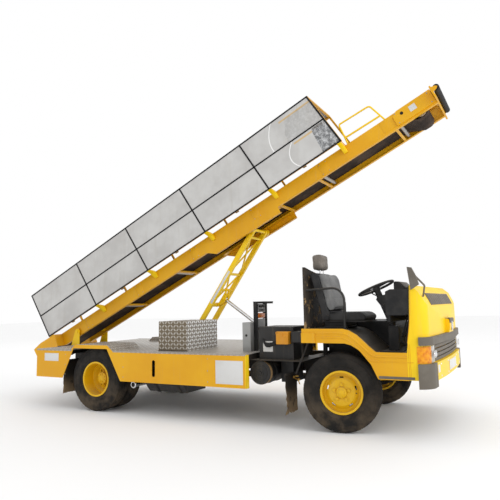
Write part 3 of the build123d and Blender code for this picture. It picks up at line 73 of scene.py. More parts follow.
class Wire:
    """A value inside a finish, with arithmetic."""

    def __init__(self, finish, socket):
        self.finish = finish
        self.socket = socket

    def _math(self, operation, first, second=0.0, third=0.0):
        return self.finish.add("Math", dict(operation=operation), {0: first, 1: second, 2: third})

    def __add__(self, other):
        return self._math("ADD", self, other)

    def __sub__(self, other):
        return self._math("SUBTRACT", self, other)

    def __mul__(self, other):
        return self._math("MULTIPLY", self, other)

    def __truediv__(self, other):
        return self._math("DIVIDE", self, other)

    def __rsub__(self, other):
        return self._math("SUBTRACT", other, self)

    def __gt__(self, other):
        return self._math("GREATER_THAN", self, other)

    def __lt__(self, other):
        return self._math("LESS_THAN", self, other)

    __radd__ = __add__
    __rmul__ = __mul__

    def size(self):
        return self._math("ABSOLUTE", self)

    def wave(self):
        return self._math("SINE", self)

    def whole(self):
        return self._math("FLOOR", self)

    def part(self):
        return self._math("FRACT", self)

    def power(self, amount):
        return self._math("POWER", self, amount)

    def root(self):
        return self._math("SQRT", self)

    def most(self, other):
        return self._math("MAXIMUM", self, other)

    def least(self, other):
        return self._math("MINIMUM", self, other)

    def turned_to(self, other):
        return self._math("ARCTAN2", self, other)

    def ramp(self, low, high):
        """0 below low, 1 above high, smooth between."""
        return self.finish.add("MapRange", dict(interpolation_type="SMOOTHSTEP"), {0: self, 1: low, 2: high})


class Finish:
    """One surface finish, built up node by node."""

    def __init__(self, name):
        self.material = bpy.data.materials.new(name)
        self.material.use_nodes = True
        self.nodes = self.material.node_tree.nodes
        self.links = self.material.node_tree.links
        self.shader = self.nodes["Principled BSDF"]
        self.place = self.add("TexCoord", {}, {}, "Object")

    def add(self, kind, settings, inputs, output=0):
        """A node of a kind, its settings first and then its sockets' values or links."""
        node = self.nodes.new("ShaderNode" + kind)
        for name, value in settings.items():
            if name == "stops":
                self._stops(node.color_ramp, value)
            else:
                setattr(node, name, value)
        for name, value in inputs.items():
            self.feed(node.inputs[name], value)
        return Wire(self, node.outputs[output])

    def _stops(self, ramp, stops):
        while len(ramp.elements) < len(stops):
            ramp.elements.new(0.5)
        for element, (position, colour) in zip(ramp.elements, stops):
            element.position = position
            element.color = (*colour, 1)

    def feed(self, socket, value):
        if isinstance(value, Wire):
            self.links.new(value.socket, socket)
        elif isinstance(value, tuple) and len(value) == 3 and socket.type == "RGBA":
            socket.default_value = (*value, 1)
        else:
            socket.default_value = value

    def set(self, **values):
        """Feeds the shader: words in a socket's name are joined by underscores."""
        for name, value in values.items():
            self.feed(self.shader.inputs[name.replace("_", " ")], value)

    def mapped(self, size=(1, 1, 1), turn=(0, 0, 0), move=(0, 0, 0), source=None):
        return self.add("Mapping", {}, {"Vector": source or self.place, "Scale": size, "Rotation": turn, "Location": move})

    def axes(self, source=None):
        """The three coordinates of a place or a direction."""
        split = self.add("SeparateXYZ", {}, {0: source or self.place})
        node = split.socket.node
        return [Wire(self, node.outputs[k]) for k in range(3)]

    def noise(self, scale, detail=4, rough=0.55, where=None):
        return self.add("TexNoise", {}, {"Vector": where or self.place, "Scale": scale, "Detail": detail,
                                         "Roughness": rough})

    def cells(self, scale, where=None, feature="F1"):
        return self.add("TexVoronoi", dict(feature=feature), {"Vector": where or self.place, "Scale": scale})

    def blend(self, low, high, amount):
        """One colour into another."""
        node = self.nodes.new("ShaderNodeMix")
        node.data_type = "RGBA"
        self.feed(node.inputs[0], amount)
        self.feed(node.inputs[6], low)
        self.feed(node.inputs[7], high)
        return Wire(self, node.outputs[2])

    def facing(self):
        """The surface's own direction, as three numbers."""
        return self.axes(self.add("NewGeometry", {}, {}, "Normal"))

    def relief(self, height, strength=0.3, depth=0.001):
        self.set(Normal=self.add("Bump", {}, {"Strength": strength, "Distance": depth, "Height": height}))


DUST = (0.36, 0.29, 0.20)


def paint(name, colour, faded, gloss=0.34, dust=0.35, chips=0.69, under=(0.10, 0.06, 0.04)):
    """Sprayed paint, a little faded, with dust on what faces up, rain streaks and small chips."""
    f = Finish(name)
    broad = f.noise(1.7, 3)
    fine = f.noise(55, 4, 0.7)
    streaks = f.noise(1, 5, 0.6, f.mapped(size=(26, 26, 1.6)))
    up = f.facing()[2].ramp(0.25, 0.95)
    tone = f.blend(colour, faded, broad.ramp(0.35, 0.72))
    tone = f.blend(tone, DUST, (up * dust + streaks.ramp(0.52, 0.8) * 0.22) * fine.ramp(0.25, 0.75))
    chip = f.noise(21, 6, 0.75).ramp(chips, chips + 0.03)
    tone = f.blend(tone, under, chip)
    f.set(Base_Color=tone, Roughness=gloss + broad * 0.16 + up * 0.2 + chip * 0.3, Coat_Weight=0.08,
          Coat_Roughness=0.2, Specular_IOR_Level=0.28)
    f.relief(fine * 0.4 - chip, 0.18, 0.0006)
    return f.material


def plain(name, colour, worn, rough=0.55, grain=90, metal=0.0, dust=0.3, depth=0.0005):
    """Moulded or rolled stock with a grain, scuffs and dust."""
    f = Finish(name)
    broad = f.noise(3.1, 4, 0.65)
    fine = f.noise(grain, 5, 0.7)
    up = f.facing()[2].ramp(0.2, 0.95)
    tone = f.blend(colour, worn, broad.ramp(0.42, 0.75) * 0.7 + fine.ramp(0.5, 0.8) * 0.3)
    tone = f.blend(tone, DUST, up * dust * fine.ramp(0.2, 0.8))
    f.set(Base_Color=tone, Roughness=rough + broad * 0.2 - 0.1, Metallic=metal, Specular_IOR_Level=0.2)
    f.relief(fine, 0.25, depth)
    return f.material


def chequer(name, pitch=0.034, wide=22, low=(0.36, 0.335, 0.30), high=(0.74, 0.73, 0.71)):
    """Aluminium tread plate: raised almond bars, crossed by turns, on flat or upright faces."""
    f = Finish(name)
    x, y, z = f.axes()
    painted_light_facing, ny, nz = [n.size() for n in f.facing()]
    flat = nz > 0.5
    side = ny > 0.5
    a = (x * flat) + (1 - flat) * (x * side + y * (1 - side))
    b = y * flat + z * (1 - flat)
    a, b = a / pitch, b / pitch
    ca, cb = a.part() - 0.5, b.part() - 0.5
    odd = ((a.whole() + b.whole()) * 0.5).part() > 0.25
    along = (ca + cb) * odd + (ca - cb) * (1 - odd)
    across = (ca - cb) * odd + (ca + cb) * (1 - odd)
    almond = (along * along * 1.6 + across * across * wide)
    bar = 1 - almond.ramp(0.45, 1.0)
    broad = f.noise(2.3, 4, 0.6)
    scuff = f.noise(1, 5, 0.7, f.mapped(size=(60, 9, 60)))
    tone = f.blend(low, high, bar * 0.8 + scuff.ramp(0.5, 0.8) * 0.2)
    tone = f.blend(tone, (0.26, 0.21, 0.15), broad.ramp(0.45, 0.8) * (1 - bar) * 0.6)
    # Painted light: upright faces that look along the vehicle are blended towards pale grey, a painted highlight for
    # the sunlit faces.
    tone = f.blend(tone, (0.90, 0.91, 0.92), painted_light_facing.ramp(0.6, 0.9) * (bar * 0.75 + 0.18))
    f.set(Base_Color=tone, Metallic=0.55, Roughness=0.5 - bar * 0.2 + broad * 0.12)
    f.relief(bar, 0.9, 0.0018)
    return f.material


def belt_cover(name):
    """Black-brown belt: a shallow rough-top weave along the boom."""
    f = Finish(name)
    where = f.mapped(turn=(0, BOOM_ANGLE, 0))
    u, y, v = f.axes(where)
    weave = (u * 420).wave() * (y * 420).wave()
    broad = f.noise(4, 5, 0.6)
    tone = f.blend((0.022, 0.014, 0.010), (0.075, 0.050, 0.036), broad.ramp(0.35, 0.75))
    f.set(Base_Color=tone, Roughness=0.78 + weave * 0.05, Specular_IOR_Level=0.15)
    f.relief(weave * 0.5 + f.noise(160, 3) * 0.5, 0.5, 0.0012)
    return f.material


def tyre_rubber(name):
    """Black rubber, brown with dust low on the tyre."""
    f = Finish(name)
    fine = f.noise(120, 5, 0.7)
    broad = f.noise(6, 4, 0.6)
    x, y, z = f.axes()
    low = 1 - z.ramp(0.05, 0.55)
    tone = f.blend((0.016, 0.015, 0.014), (0.034, 0.030, 0.026), broad.ramp(0.4, 0.7))
    tone = f.blend(tone, (0.13, 0.095, 0.06), low * broad.ramp(0.32, 0.62) * 0.50)
    f.set(Base_Color=tone, Roughness=0.72 + fine * 0.15, Specular_IOR_Level=0.15)
    f.relief(fine, 0.3, 0.0006)
    return f.material


def canopy_film(name):
    """Hazy dusty sheet, its film peeled at the front end, where it is clear and crumpled."""
    f = Finish(name)
    origin = on_boom(0, 0, 0)
    moved = f.add("VectorMath", dict(operation="SUBTRACT"), {0: f.place, 1: tuple(origin)})
    u, y, v = f.axes(f.mapped(turn=(0, BOOM_ANGLE, 0), source=moved))
    broad = f.noise(2.4, 4, 0.6)
    dusty = f.noise(60, 5, 0.75)
    streak = f.noise(1, 4, 0.6, f.mapped(size=(14, 14, 2.0)))
    edge = f.noise(3.5, 2) * 0.16
    lower = (u + edge * 0.3 > 4.54) * (v < 0.48)
    upper = (u - v * 0.25 + edge * 2 > 4.22) * (v > 0.50) * (v < 0.80)
    peel = lower.most(upper * 0.2)
    high = v > 0.5
    line = ((u - 3.98 - (v - 0.58) * (v - 0.58) * 1.6).size() < 0.007) * high
    line = line.most(((u - 4.13 - (v - 0.30) * (v - 0.30) * 3.1).size() < 0.007) * (1 - high))
    # Amber lines painted on the sheet along the far side's rails: a painted view of those rails through the sheet, not
    # the sheet's colour.
    rail = (((v - 0.80).size() < 0.012) * (u > 4.20)).most(((v - 0.449).size() < 0.012) * (u > 4.25))
    rail = rail * (u < 4.54 + high * 0.2)
    crumple = f.cells(34, f.mapped(size=(1, 1, 1.6)), "DISTANCE_TO_EDGE")
    tone = f.blend((0.50, 0.49, 0.475), (0.60, 0.595, 0.58), broad.ramp(0.3, 0.7))
    tone = f.blend(tone, (0.42, 0.39, 0.34), streak.ramp(0.5, 0.85) * 0.35)
    tone = f.blend(tone, (0.85, 0.85, 0.84), line)
    tone = f.blend(tone, (0.62, 0.40, 0.13), rail * 0.75)
    # On the peeled part the crumples are real and also go into the relief; their dark and pale mottling is painted
    # shade and glint.
    crumple_shade_and_glint = f.blend((0.10, 0.105, 0.11), (0.62, 0.63, 0.64), f.noise(26, 5, 0.8).ramp(0.42, 0.66))
    tone = f.blend(tone, crumple_shade_and_glint, peel)
    f.set(Base_Color=tone, Roughness=0.46 + dusty * 0.2 - peel * 0.3, Alpha=0.93 - peel * 0.2)
    f.relief(dusty * 0.3 + crumple.ramp(0.0, 0.05) * peel * 4, 0.35, 0.001)
    return f.material


def flaked(name):
    """Dark board whose paint has flaked off in tan patches."""
    f = Finish(name)
    patch = f.noise(9, 8, 0.72)
    fine = f.noise(130, 4, 0.7)
    flake = patch.ramp(0.565, 0.60)
    tone = f.blend((0.020, 0.017, 0.014), (0.055, 0.042, 0.030), f.noise(3, 3).ramp(0.3, 0.7))
    tone = f.blend(tone, (0.34, 0.22, 0.10), flake)
    f.set(Base_Color=tone, Roughness=0.62 + flake * 0.2, Specular_IOR_Level=0.2)
    f.relief(fine * 0.4 - flake * 0.8, 0.4, 0.001)
    return f.material


def hide(name, colour, worn, scale=420):
    """Vinyl or leather with a fine grain and polished wear."""
    f = Finish(name)
    grain = f.cells(scale, feature="DISTANCE_TO_EDGE").ramp(0.0, 0.3)
    broad = f.noise(5, 4, 0.6)
    tone = f.blend(colour, worn, broad.ramp(0.4, 0.75))
    f.set(Base_Color=tone, Roughness=0.45 + broad * 0.25, Coat_Weight=0.05,
          Specular_IOR_Level=0.25)
    f.relief(grain, 0.35, 0.0006)
    return f.material


def lens(name, colour, ribs=260):
    """Moulded lamp lens with fine upright flutes."""
    f = Finish(name)
    x, y, z = f.axes()
    flute = ((x + y) * ribs).wave() * (z * ribs).wave()
    tone = f.blend(colour, tuple(c * 0.55 for c in colour), f.noise(24, 3).ramp(0.35, 0.7))
    f.set(Base_Color=tone, Roughness=0.15 + f.noise(30, 3) * 0.15, Coat_Weight=0.2, Specular_IOR_Level=0.3)
    f.relief(flute, 0.5, 0.001)
    return f.material


def parted(name, edge, behind, ahead):
    """One colour behind a place along the vehicle and another ahead of it, both worn."""
    f = Finish(name)
    x, y, z = f.axes()
    fine = f.noise(80, 5, 0.7)
    worn = f.noise(4, 4, 0.6).ramp(0.4, 0.75)
    tone = f.blend(behind, ahead, x > edge)
    tone = f.blend(tone, (0.10, 0.09, 0.075), worn * 0.35)
    f.set(Base_Color=tone, Roughness=0.5 + fine * 0.2, Specular_IOR_Level=0.2)
    f.relief(fine, 0.2, 0.0005)
    return f.material


def dirty_flap(name):
    """Rubber sheet, its lower part caked with tan dirt."""
    f = Finish(name)
    x, y, z = f.axes()
    fine = f.noise(140, 5, 0.7)
    cake = (1 - z.ramp(0.20, 0.46)) * f.noise(14, 5, 0.7).ramp(0.25, 0.5)
    tone = f.blend((0.018, 0.016, 0.014), (0.050, 0.040, 0.030), fine.ramp(0.4, 0.7))
    tone = f.blend(tone, (0.30, 0.21, 0.12), cake * 0.8)
    f.set(Base_Color=tone, Roughness=0.8 + fine * 0.1, Specular_IOR_Level=0.15)
    f.relief(fine + cake * 2, 0.5, 0.0015)
    return f.material


def two_lenses(name, edge):
    """Amber glass outside a distance from the middle, clear glass inside it, fluted."""
    f = Finish(name)
    x, y, z = f.axes()
    outer = y.size() > edge
    flute = ((x + y) * 260).wave() * (z * 260).wave()
    spot = f.noise(24, 3).ramp(0.35, 0.7)
    tone = f.blend(f.blend((0.62, 0.60, 0.55), (0.30, 0.29, 0.27), spot), f.blend((0.80, 0.33, 0.001), (0.60, 0.15, 0.0005), spot),
                   outer)
    f.set(Base_Color=tone, Roughness=0.2 + f.noise(30, 3) * 0.15, Coat_Weight=0.15, Specular_IOR_Level=0.3)
    f.relief(flute, 0.5, 0.001)
    return f.material


def bright(name, colour=(0.72, 0.72, 0.73), rough=0.16):
    """Polished or ground metal with fine wiping marks."""
    f = Finish(name)
    wipe = f.noise(1, 5, 0.7, f.mapped(size=(14, 240, 14)))
    f.set(Base_Color=f.blend(colour, tuple(c * 0.6 for c in colour), wipe.ramp(0.5, 0.85)), Metallic=1.0,
          Roughness=rough + wipe * 0.18)
    f.relief(wipe, 0.15, 0.0003)
    return f.material


AMBER = (0.70, 0.34, 0.002)
AMBER_FADED = (0.76, 0.40, 0.005)
amber = paint("amber_paint", AMBER, AMBER_FADED)
# A brighter, less dusty copy of the amber paint: painted sunlight for the parts that face the sun, not a paint of their
# own.
amber_painted_sunlit = paint("amber_paint_painted_sunlit", (0.88, 0.56, 0.002), (0.90, 0.62, 0.006), dust=0.06)
rim_paint = paint("rim_paint", (0.78, 0.46, 0.004), (0.62, 0.36, 0.01), gloss=0.30, dust=0.5, chips=0.66)
rust_paint = paint("sheltered_paint", (0.62, 0.26, 0.010), (0.55, 0.22, 0.012), chips=0.62, under=(0.13, 0.05, 0.02))
chassis_black = plain("chassis_black", (0.018, 0.017, 0.016), (0.060, 0.048, 0.036), 0.55, 70)
black_steel = paint("black_paint", (0.012, 0.012, 0.012), (0.03, 0.028, 0.026), gloss=0.35, dust=0.25, chips=0.68,
                    under=(0.22, 0.13, 0.06))
tread_plate = chequer("tread_plate", 0.036)
# The deck box's plate is a darker copy of the tread plate: painted shade for the box's shaded sides.
box_plate_painted_shade = chequer("box_tread_plate_painted_shade", 0.043, 8, (0.17, 0.135, 0.09), (0.50, 0.47, 0.42))
belt_black = belt_cover("belt_cover")
rubber = tyre_rubber("tyre_rubber")
film = canopy_film("canopy_film")
board = flaked("flaked_board")
black_moulding = plain("black_moulding", (0.014, 0.014, 0.015), (0.05, 0.047, 0.043), 0.5, 240)
grey_moulding = plain("grey_moulding", (0.13, 0.115, 0.095), (0.20, 0.18, 0.15), 0.6, 160)
grey_sheet = plain("grey_sheet", (0.33, 0.33, 0.33), (0.42, 0.41, 0.39), 0.45, 120)
# Black rubber for seals, flaps and leads; also used as painted shade on the deck box's foot, the head cover's holes and
# the exhaust's mouth.
seal_black_and_painted_shade = plain("seal_black_and_painted_shade", (0.010, 0.010, 0.010), (0.03, 0.03, 0.03), 0.6, 200, dust=0.1)
seat_black = hide("seat_vinyl", (0.012, 0.012, 0.013), (0.035, 0.034, 0.033))
seat_grey = hide("seat_grey_cloth", (0.13, 0.13, 0.13), (0.20, 0.20, 0.195), 700)
amber_lens = lens("amber_lens", (0.90, 0.22, 0.004))
clear_lens = lens("clear_lens", (0.80, 0.80, 0.78))
lamp_glass = two_lenses("lamp_glass", 0.882)
flap_rubber = dirty_flap("flap_rubber")
stand_paint = parted("control_stand_paint", at(-1135.2, 0, 0).x, (0.36, 0.36, 0.35), (0.014, 0.014, 0.014))
# Tan dirt, also used as painted shade on the canopy's small spacers.
tan_dirt_and_painted_shade = plain("tan_dirt_and_painted_shade", (0.30, 0.19, 0.09), (0.16, 0.10, 0.05), 0.75, 60)
brass = bright("brass", (0.72, 0.45, 0.12), 0.3)
headrest_cloth = hide("headrest_cloth", (0.115, 0.100, 0.085), (0.19, 0.165, 0.14), 700)
red_lens = lens("red_lens", (0.55, 0.02, 0.01))
chrome = bright("ground_steel")
dull_steel = bright("dull_steel", (0.42, 0.40, 0.37), 0.38)
white_plate = plain("bare_plate", (0.66, 0.66, 0.65), (0.58, 0.56, 0.52), 0.4, 60, dust=0.1)
mirror_face = bright("mirror_face", (0.85, 0.87, 0.88), 0.04)


def dress(node, finish):
    """Gives a part of the frame its finish."""
    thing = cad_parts[node]
    if not thing.material_slots:
        thing.data.materials.append(finish)
    for holder in thing.material_slots:
        holder.material = finish


# Parts given the brighter amber copy carry painted sunlight.
DRESSES = {
    "chassis_rails": chassis_black, "cross_members": chassis_black, "spring_hangers": chassis_black,
    "frame_arms": chassis_black, "pivot_brackets": amber_painted_sunlit, "deck_sheets": tread_plate,
    "deck_bearers": chassis_black, "skirts": amber, "deck_box": box_plate_painted_shade, "front_axle": chassis_black,
    "rear_axle": chassis_black, "springs": chassis_black, "drive_shaft": chassis_black,
    "knuckle_right": chassis_black, "knuckle_left": chassis_black, "tie_rod": dull_steel,
    "engine_block": chassis_black, "engine_cover": seat_black, "fenders": amber, "floor_pan": black_moulding,
    "cowl": amber_painted_sunlit, "grille": grey_moulding, "lamps": lamp_glass, "bumper_corners": grey_moulding,
    "bumper_face": amber_painted_sunlit, "dash": black_moulding, "steering_column": black_moulding,
    "steering_wheel": black_moulding, "seat": seat_black, "backboard": board, "side_hoop": black_steel,
    "door_mirror": grey_moulding, "girder_webs": amber, "girder_bars": amber, "belt": belt_black, "drums_and_idlers": dull_steel,
    "bumper_roller": seal_black_and_painted_shade, "canopy_rails": amber, "canopy_posts": amber, "canopy_bows": amber,
    "canopy_sheets": film, "canopy_roof": grey_sheet,
    "handrail": amber_painted_sunlit, "lift_frame": amber_painted_sunlit, "cylinder_barrel": amber_painted_sunlit, "cylinder_rod": chrome,
    "tanks": black_steel, "controls": stand_paint, "side_boxes": black_steel, "exhaust_pipe": chrome,
    "mudflaps": seal_black_and_painted_shade, "rim_front_right": rim_paint, "rim_front_left": rim_paint,
    "rims_rear_right": rim_paint, "rims_rear_left": rim_paint, "tyre_front_right": rubber,
    "tyre_front_left": rubber, "tyres_rear_right": rubber, "tyres_rear_left": rubber,
}
for node_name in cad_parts:
    dress(node_name, DRESSES.get(node_name, amber))


# Modelling

def put_down():
    """Nothing selected, nothing being edited."""
    if bpy.context.object and bpy.context.object.mode != "OBJECT":
        bpy.ops.object.mode_set(mode="OBJECT")
    bpy.ops.object.select_all(action="DESELECT")


def take(thing):
    put_down()
    thing.select_set(True)
    bpy.context.view_layer.objects.active = thing


def settle(thing):
    """Its place, turn and size go into its mesh."""
    take(thing)
    bpy.ops.object.transform_apply(location=True, rotation=True, scale=True)


def press_on(thing, kind, **settings):
    """Adds a modifier and applies it."""
    take(thing)
    modifier = thing.modifiers.new(kind.lower(), kind)
    for name, value in settings.items():
        setattr(modifier, name, value)
    bpy.ops.object.modifier_apply(modifier=modifier.name)


def soften(thing, width=0.003, steps=2, angle=35):
    press_on(thing, "BEVEL", width=width, segments=steps, limit_method="ANGLE", angle_limit=radians(angle))


def smooth(thing, angle=35):
    take(thing)
    bpy.ops.object.shade_smooth_by_angle(angle=radians(angle))


def block(name, low, high, edge=0.004):
    """A block between two corners, its edges eased."""
    put_down()
    low, high = Vector(low), Vector(high)
    bpy.ops.mesh.primitive_cube_add(size=1, location=(low + high) / 2)
    thing = bpy.context.object
    thing.name = name
    thing.scale = [abs(c) for c in high - low]
    settle(thing)
    if edge:
        soften(thing, edge)
    return thing


def boom_block(name, u0, u1, y0, y1, v0, v1, edge=0.002, turn=0.0):
    """A block lying along the boom, turned further by an angle about its middle."""
    middle = on_boom((u0 + u1) / 2, (y0 + y1) / 2, (v0 + v1) / 2)
    half = Vector((u1 - u0, y1 - y0, v1 - v0)) / 2000
    thing = block(name, -half, half, edge)
    thing.rotation_euler = (0, -BOOM_ANGLE - turn, 0)
    thing.location = middle
    settle(thing)
    return thing


def rod(name, start, end, radius, sides=20, edge=0.0):
    """A round bar from one place to another."""
    put_down()
    start, end = Vector(start), Vector(end)
    line = end - start
    bpy.ops.mesh.primitive_cylinder_add(vertices=sides, radius=radius, depth=line.length, location=(start + end) / 2,
                                        rotation=line.to_track_quat("Z", "Y").to_euler())
    thing = bpy.context.object
    thing.name = name
    settle(thing)
    if edge:
        soften(thing, edge)
    return thing


def bent_tube(name, places, radius, bend=0.06, sides=12):
    """A tube bent through places."""
    put_down()
    line = bpy.data.curves.new(name, "CURVE")
    line.dimensions = "3D"
    line.bevel_depth = radius
    line.bevel_resolution = max(1, sides // 4 - 1)
    line.resolution_u = 6
    line.use_fill_caps = True
    spline = line.splines.new("BEZIER")
    stops = [(Vector(places[0]), None)]
    for before, corner, after in zip(places, places[1:], places[2:]):
        corner = Vector(corner)
        back, on = (Vector(before) - corner), (Vector(after) - corner)
        reach = min(bend, back.length * 0.45, on.length * 0.45)
        stops.append((corner + back.normalized() * reach, corner))
        stops.append((corner + on.normalized() * reach, corner))
    stops.append((Vector(places[-1]), None))
    spline.bezier_points.add(len(stops) - 1)
    for point, (place, corner) in zip(spline.bezier_points, stops):
        point.co = place
        point.handle_left_type = point.handle_right_type = "VECTOR"
    for k in range(1, len(stops) - 1, 2):
        first, second = spline.bezier_points[k], spline.bezier_points[k + 1]
        corner = stops[k][1]
        first.handle_right_type = second.handle_left_type = "FREE"
        first.handle_right = first.co + (corner - first.co) * 0.56
        second.handle_left = second.co + (corner - second.co) * 0.56
    thing = bpy.data.objects.new(name, line)
    bpy.context.collection.objects.link(thing)
    take(thing)
    bpy.ops.object.convert(target="MESH")
    return bpy.context.object


def ring(name, centre, axis, big, small, sides=48, tube=12):
    """A torus round an axis."""
    put_down()
    bpy.ops.mesh.primitive_torus_add(major_radius=big, minor_radius=small, major_segments=sides, minor_segments=tube,
                                     location=centre, rotation=Vector(axis).to_track_quat("Z", "Y").to_euler())
    thing = bpy.context.object
    thing.name = name
    settle(thing)
    return thing


def dome(name, centre, size):
    """A rounded button or cap."""
    put_down()
    bpy.ops.mesh.primitive_uv_sphere_add(segments=20, ring_count=10, radius=1, location=centre)
    thing = bpy.context.object
    thing.name = name
    thing.scale = size
    settle(thing)
    return thing


def spun(name, profile, centre, axis, steps=64):
    """A solid turned from a closed profile of (radius, along) places about an axis."""
    put_down()
    mesh = bpy.data.meshes.new(name)
    mesh.from_pydata([(r, 0, a) for r, a in profile], [(k, (k + 1) % len(profile)) for k in range(len(profile))], [])
    thing = bpy.data.objects.new(name, mesh)
    bpy.context.collection.objects.link(thing)
    take(thing)
    bpy.ops.object.mode_set(mode="EDIT")
    bpy.ops.mesh.select_all(action="SELECT")
    bpy.ops.mesh.spin(steps=steps, angle=2 * pi, center=(0, 0, 0), axis=(0, 0, 1))
    bpy.ops.mesh.select_all(action="SELECT")
    bpy.ops.mesh.remove_doubles(threshold=0.00005)
    bpy.ops.mesh.normals_make_consistent(inside=False)
    bpy.ops.object.mode_set(mode="OBJECT")
    thing.rotation_mode = "QUATERNION"
    thing.rotation_quaternion = Vector(axis).to_track_quat("Z", "Y")
    thing.location = centre
    settle(thing)
    return thing


def piece(name, x0, x1, y0, y1, z0, z1, edge=2.0):
    """A block on the vehicle, its places in millimetres."""
    return block(name, at(x0, y0, z0), at(x1, y1, z1), edge / 1000)


def pulled(name, places, way, edge=2.0):
    """A flat outline of places, pulled out along a way in metres."""
    put_down()
    mesh = bpy.data.meshes.new(name)
    mesh.from_pydata([tuple(place) for place in places], [], [list(range(len(places)))])
    thing = bpy.data.objects.new(name, mesh)
    bpy.context.collection.objects.link(thing)
    take(thing)
    bpy.ops.object.mode_set(mode="EDIT")
    bpy.ops.mesh.select_all(action="SELECT")
    bpy.ops.mesh.extrude_region_move(TRANSFORM_OT_translate={"value": tuple(way)})
    bpy.ops.mesh.select_all(action="SELECT")
    bpy.ops.mesh.normals_make_consistent(inside=False)
    bpy.ops.object.mode_set(mode="OBJECT")
    if edge:
        soften(thing, edge / 1000)
    return thing


def side_piece(name, outline, y0, y1, edge=2.0):
    """An outline of (x, z) places, solid between two widths."""
    return pulled(name, [at(x, y0, z) for x, z in outline], (0, (y1 - y0) / 1000, 0), edge)


def boom_piece(name, outline, y0, y1, edge=2.0):
    """An outline of (u, v) places on the boom, solid between two widths."""
    return pulled(name, [on_boom(u, y0, v) for u, v in outline], (0, (y1 - y0) / 1000, 0), edge)


def bowed_piece(name, y0, y1, z0, z1, proud, thick, edge=1.0, steps=8):
    """A strip bent round the front of the cab, standing proud of its bow."""
    widths = [y0 + (y1 - y0) * k / steps for k in range(steps + 1)]
    bow = [(920 - 35 * (y / 850) ** 2 + proud, y) for y in widths]
    outline = bow + [(x + thick, y) for x, y in reversed(bow)]
    return pulled(name, [at(x, y, z0) for x, y in outline], (0, 0, (z1 - z0) / 1000), edge)


def mirrored(thing, name):
    """The same piece on the other side of the vehicle."""
    twin = placed(thing, name, Matrix.Scale(-1, 4, (0, 1, 0)))
    twin.data.flip_normals()
    return twin


def plumped(thing, voxel=0.006, cap=0.022):
    """A closed pad, blown up as cloth, no point of it going further than the cap."""
    press_on(thing, "REMESH", mode="VOXEL", voxel_size=voxel)
    press_on(thing, "SMOOTH", factor=0.5, iterations=4)
    rest = [vertex.co.copy() for vertex in thing.data.vertices]
    take(thing)
    cloth = thing.modifiers.new("cloth", "CLOTH")
    cloth.settings.use_pressure = True
    cloth.settings.uniform_pressure_force = 4
    cloth.settings.effector_weights.gravity = 0
    for frame_number in range(1, 21):
        bpy.context.scene.frame_set(frame_number)
    bpy.ops.object.modifier_apply(modifier="cloth")
    bpy.context.scene.frame_set(1)
    for vertex, place in zip(thing.data.vertices, rest):
        gone = vertex.co - place
        if gone.length > cap:
            vertex.co = place + gone.normalized() * cap
    return thing


def channel(thing, axis, where, depth=0.004, width=0.007):
    """A sewn channel across a pad: the points near a plane go in."""
    for vertex in thing.data.vertices:
        off = abs(vertex.co[axis] - where)
        if off < width:
            vertex.co -= vertex.normal * depth * (1 - off / width)


def merged(name, things):
    """Several made one."""
    put_down()
    for thing in things:
        thing.select_set(True)
    bpy.context.view_layer.objects.active = things[0]
    if len(things) > 1:
        bpy.ops.object.join()
    thing = bpy.context.object
    thing.name = name
    return thing


def placed(thing, name, matrix):
    """A copy of a settled piece, its mesh moved by a matrix."""
    copy = thing.copy()
    copy.data = thing.data.copy()
    copy.name = name
    bpy.context.collection.objects.link(copy)
    copy.data.transform(matrix)
    return copy


def outfit(thing, body, finish, stands_for=(), angle=35):
    """The finished piece: its finish, its body and the parts that it stands for."""
    smooth(thing, angle)
    thing.data.materials.clear()
    thing.data.materials.append(finish)
    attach(thing, body)
    if stands_for:
        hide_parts(*stands_for)
    return thing


# Wheels

STEER = radians(10)
WHEELS = (
    # name, centre in mm, outward direction, body, tyre node, twins
    ("front_right", (-37, -700, 385), 126.5, -1, "wheel_front_right", "tyre_front_right"),
    ("front_left", (-37, 700, 385), 126.5, 1, "wheel_front_left", "tyre_front_left"),
    ("rear_right", (-3232, -772, 385), 122.5, -1, "wheels_rear_right", "tyres_rear_right"),
    ("rear_left", (-3232, 772, 385), 122.5, 1, "wheels_rear_left", "tyres_rear_left"),
)


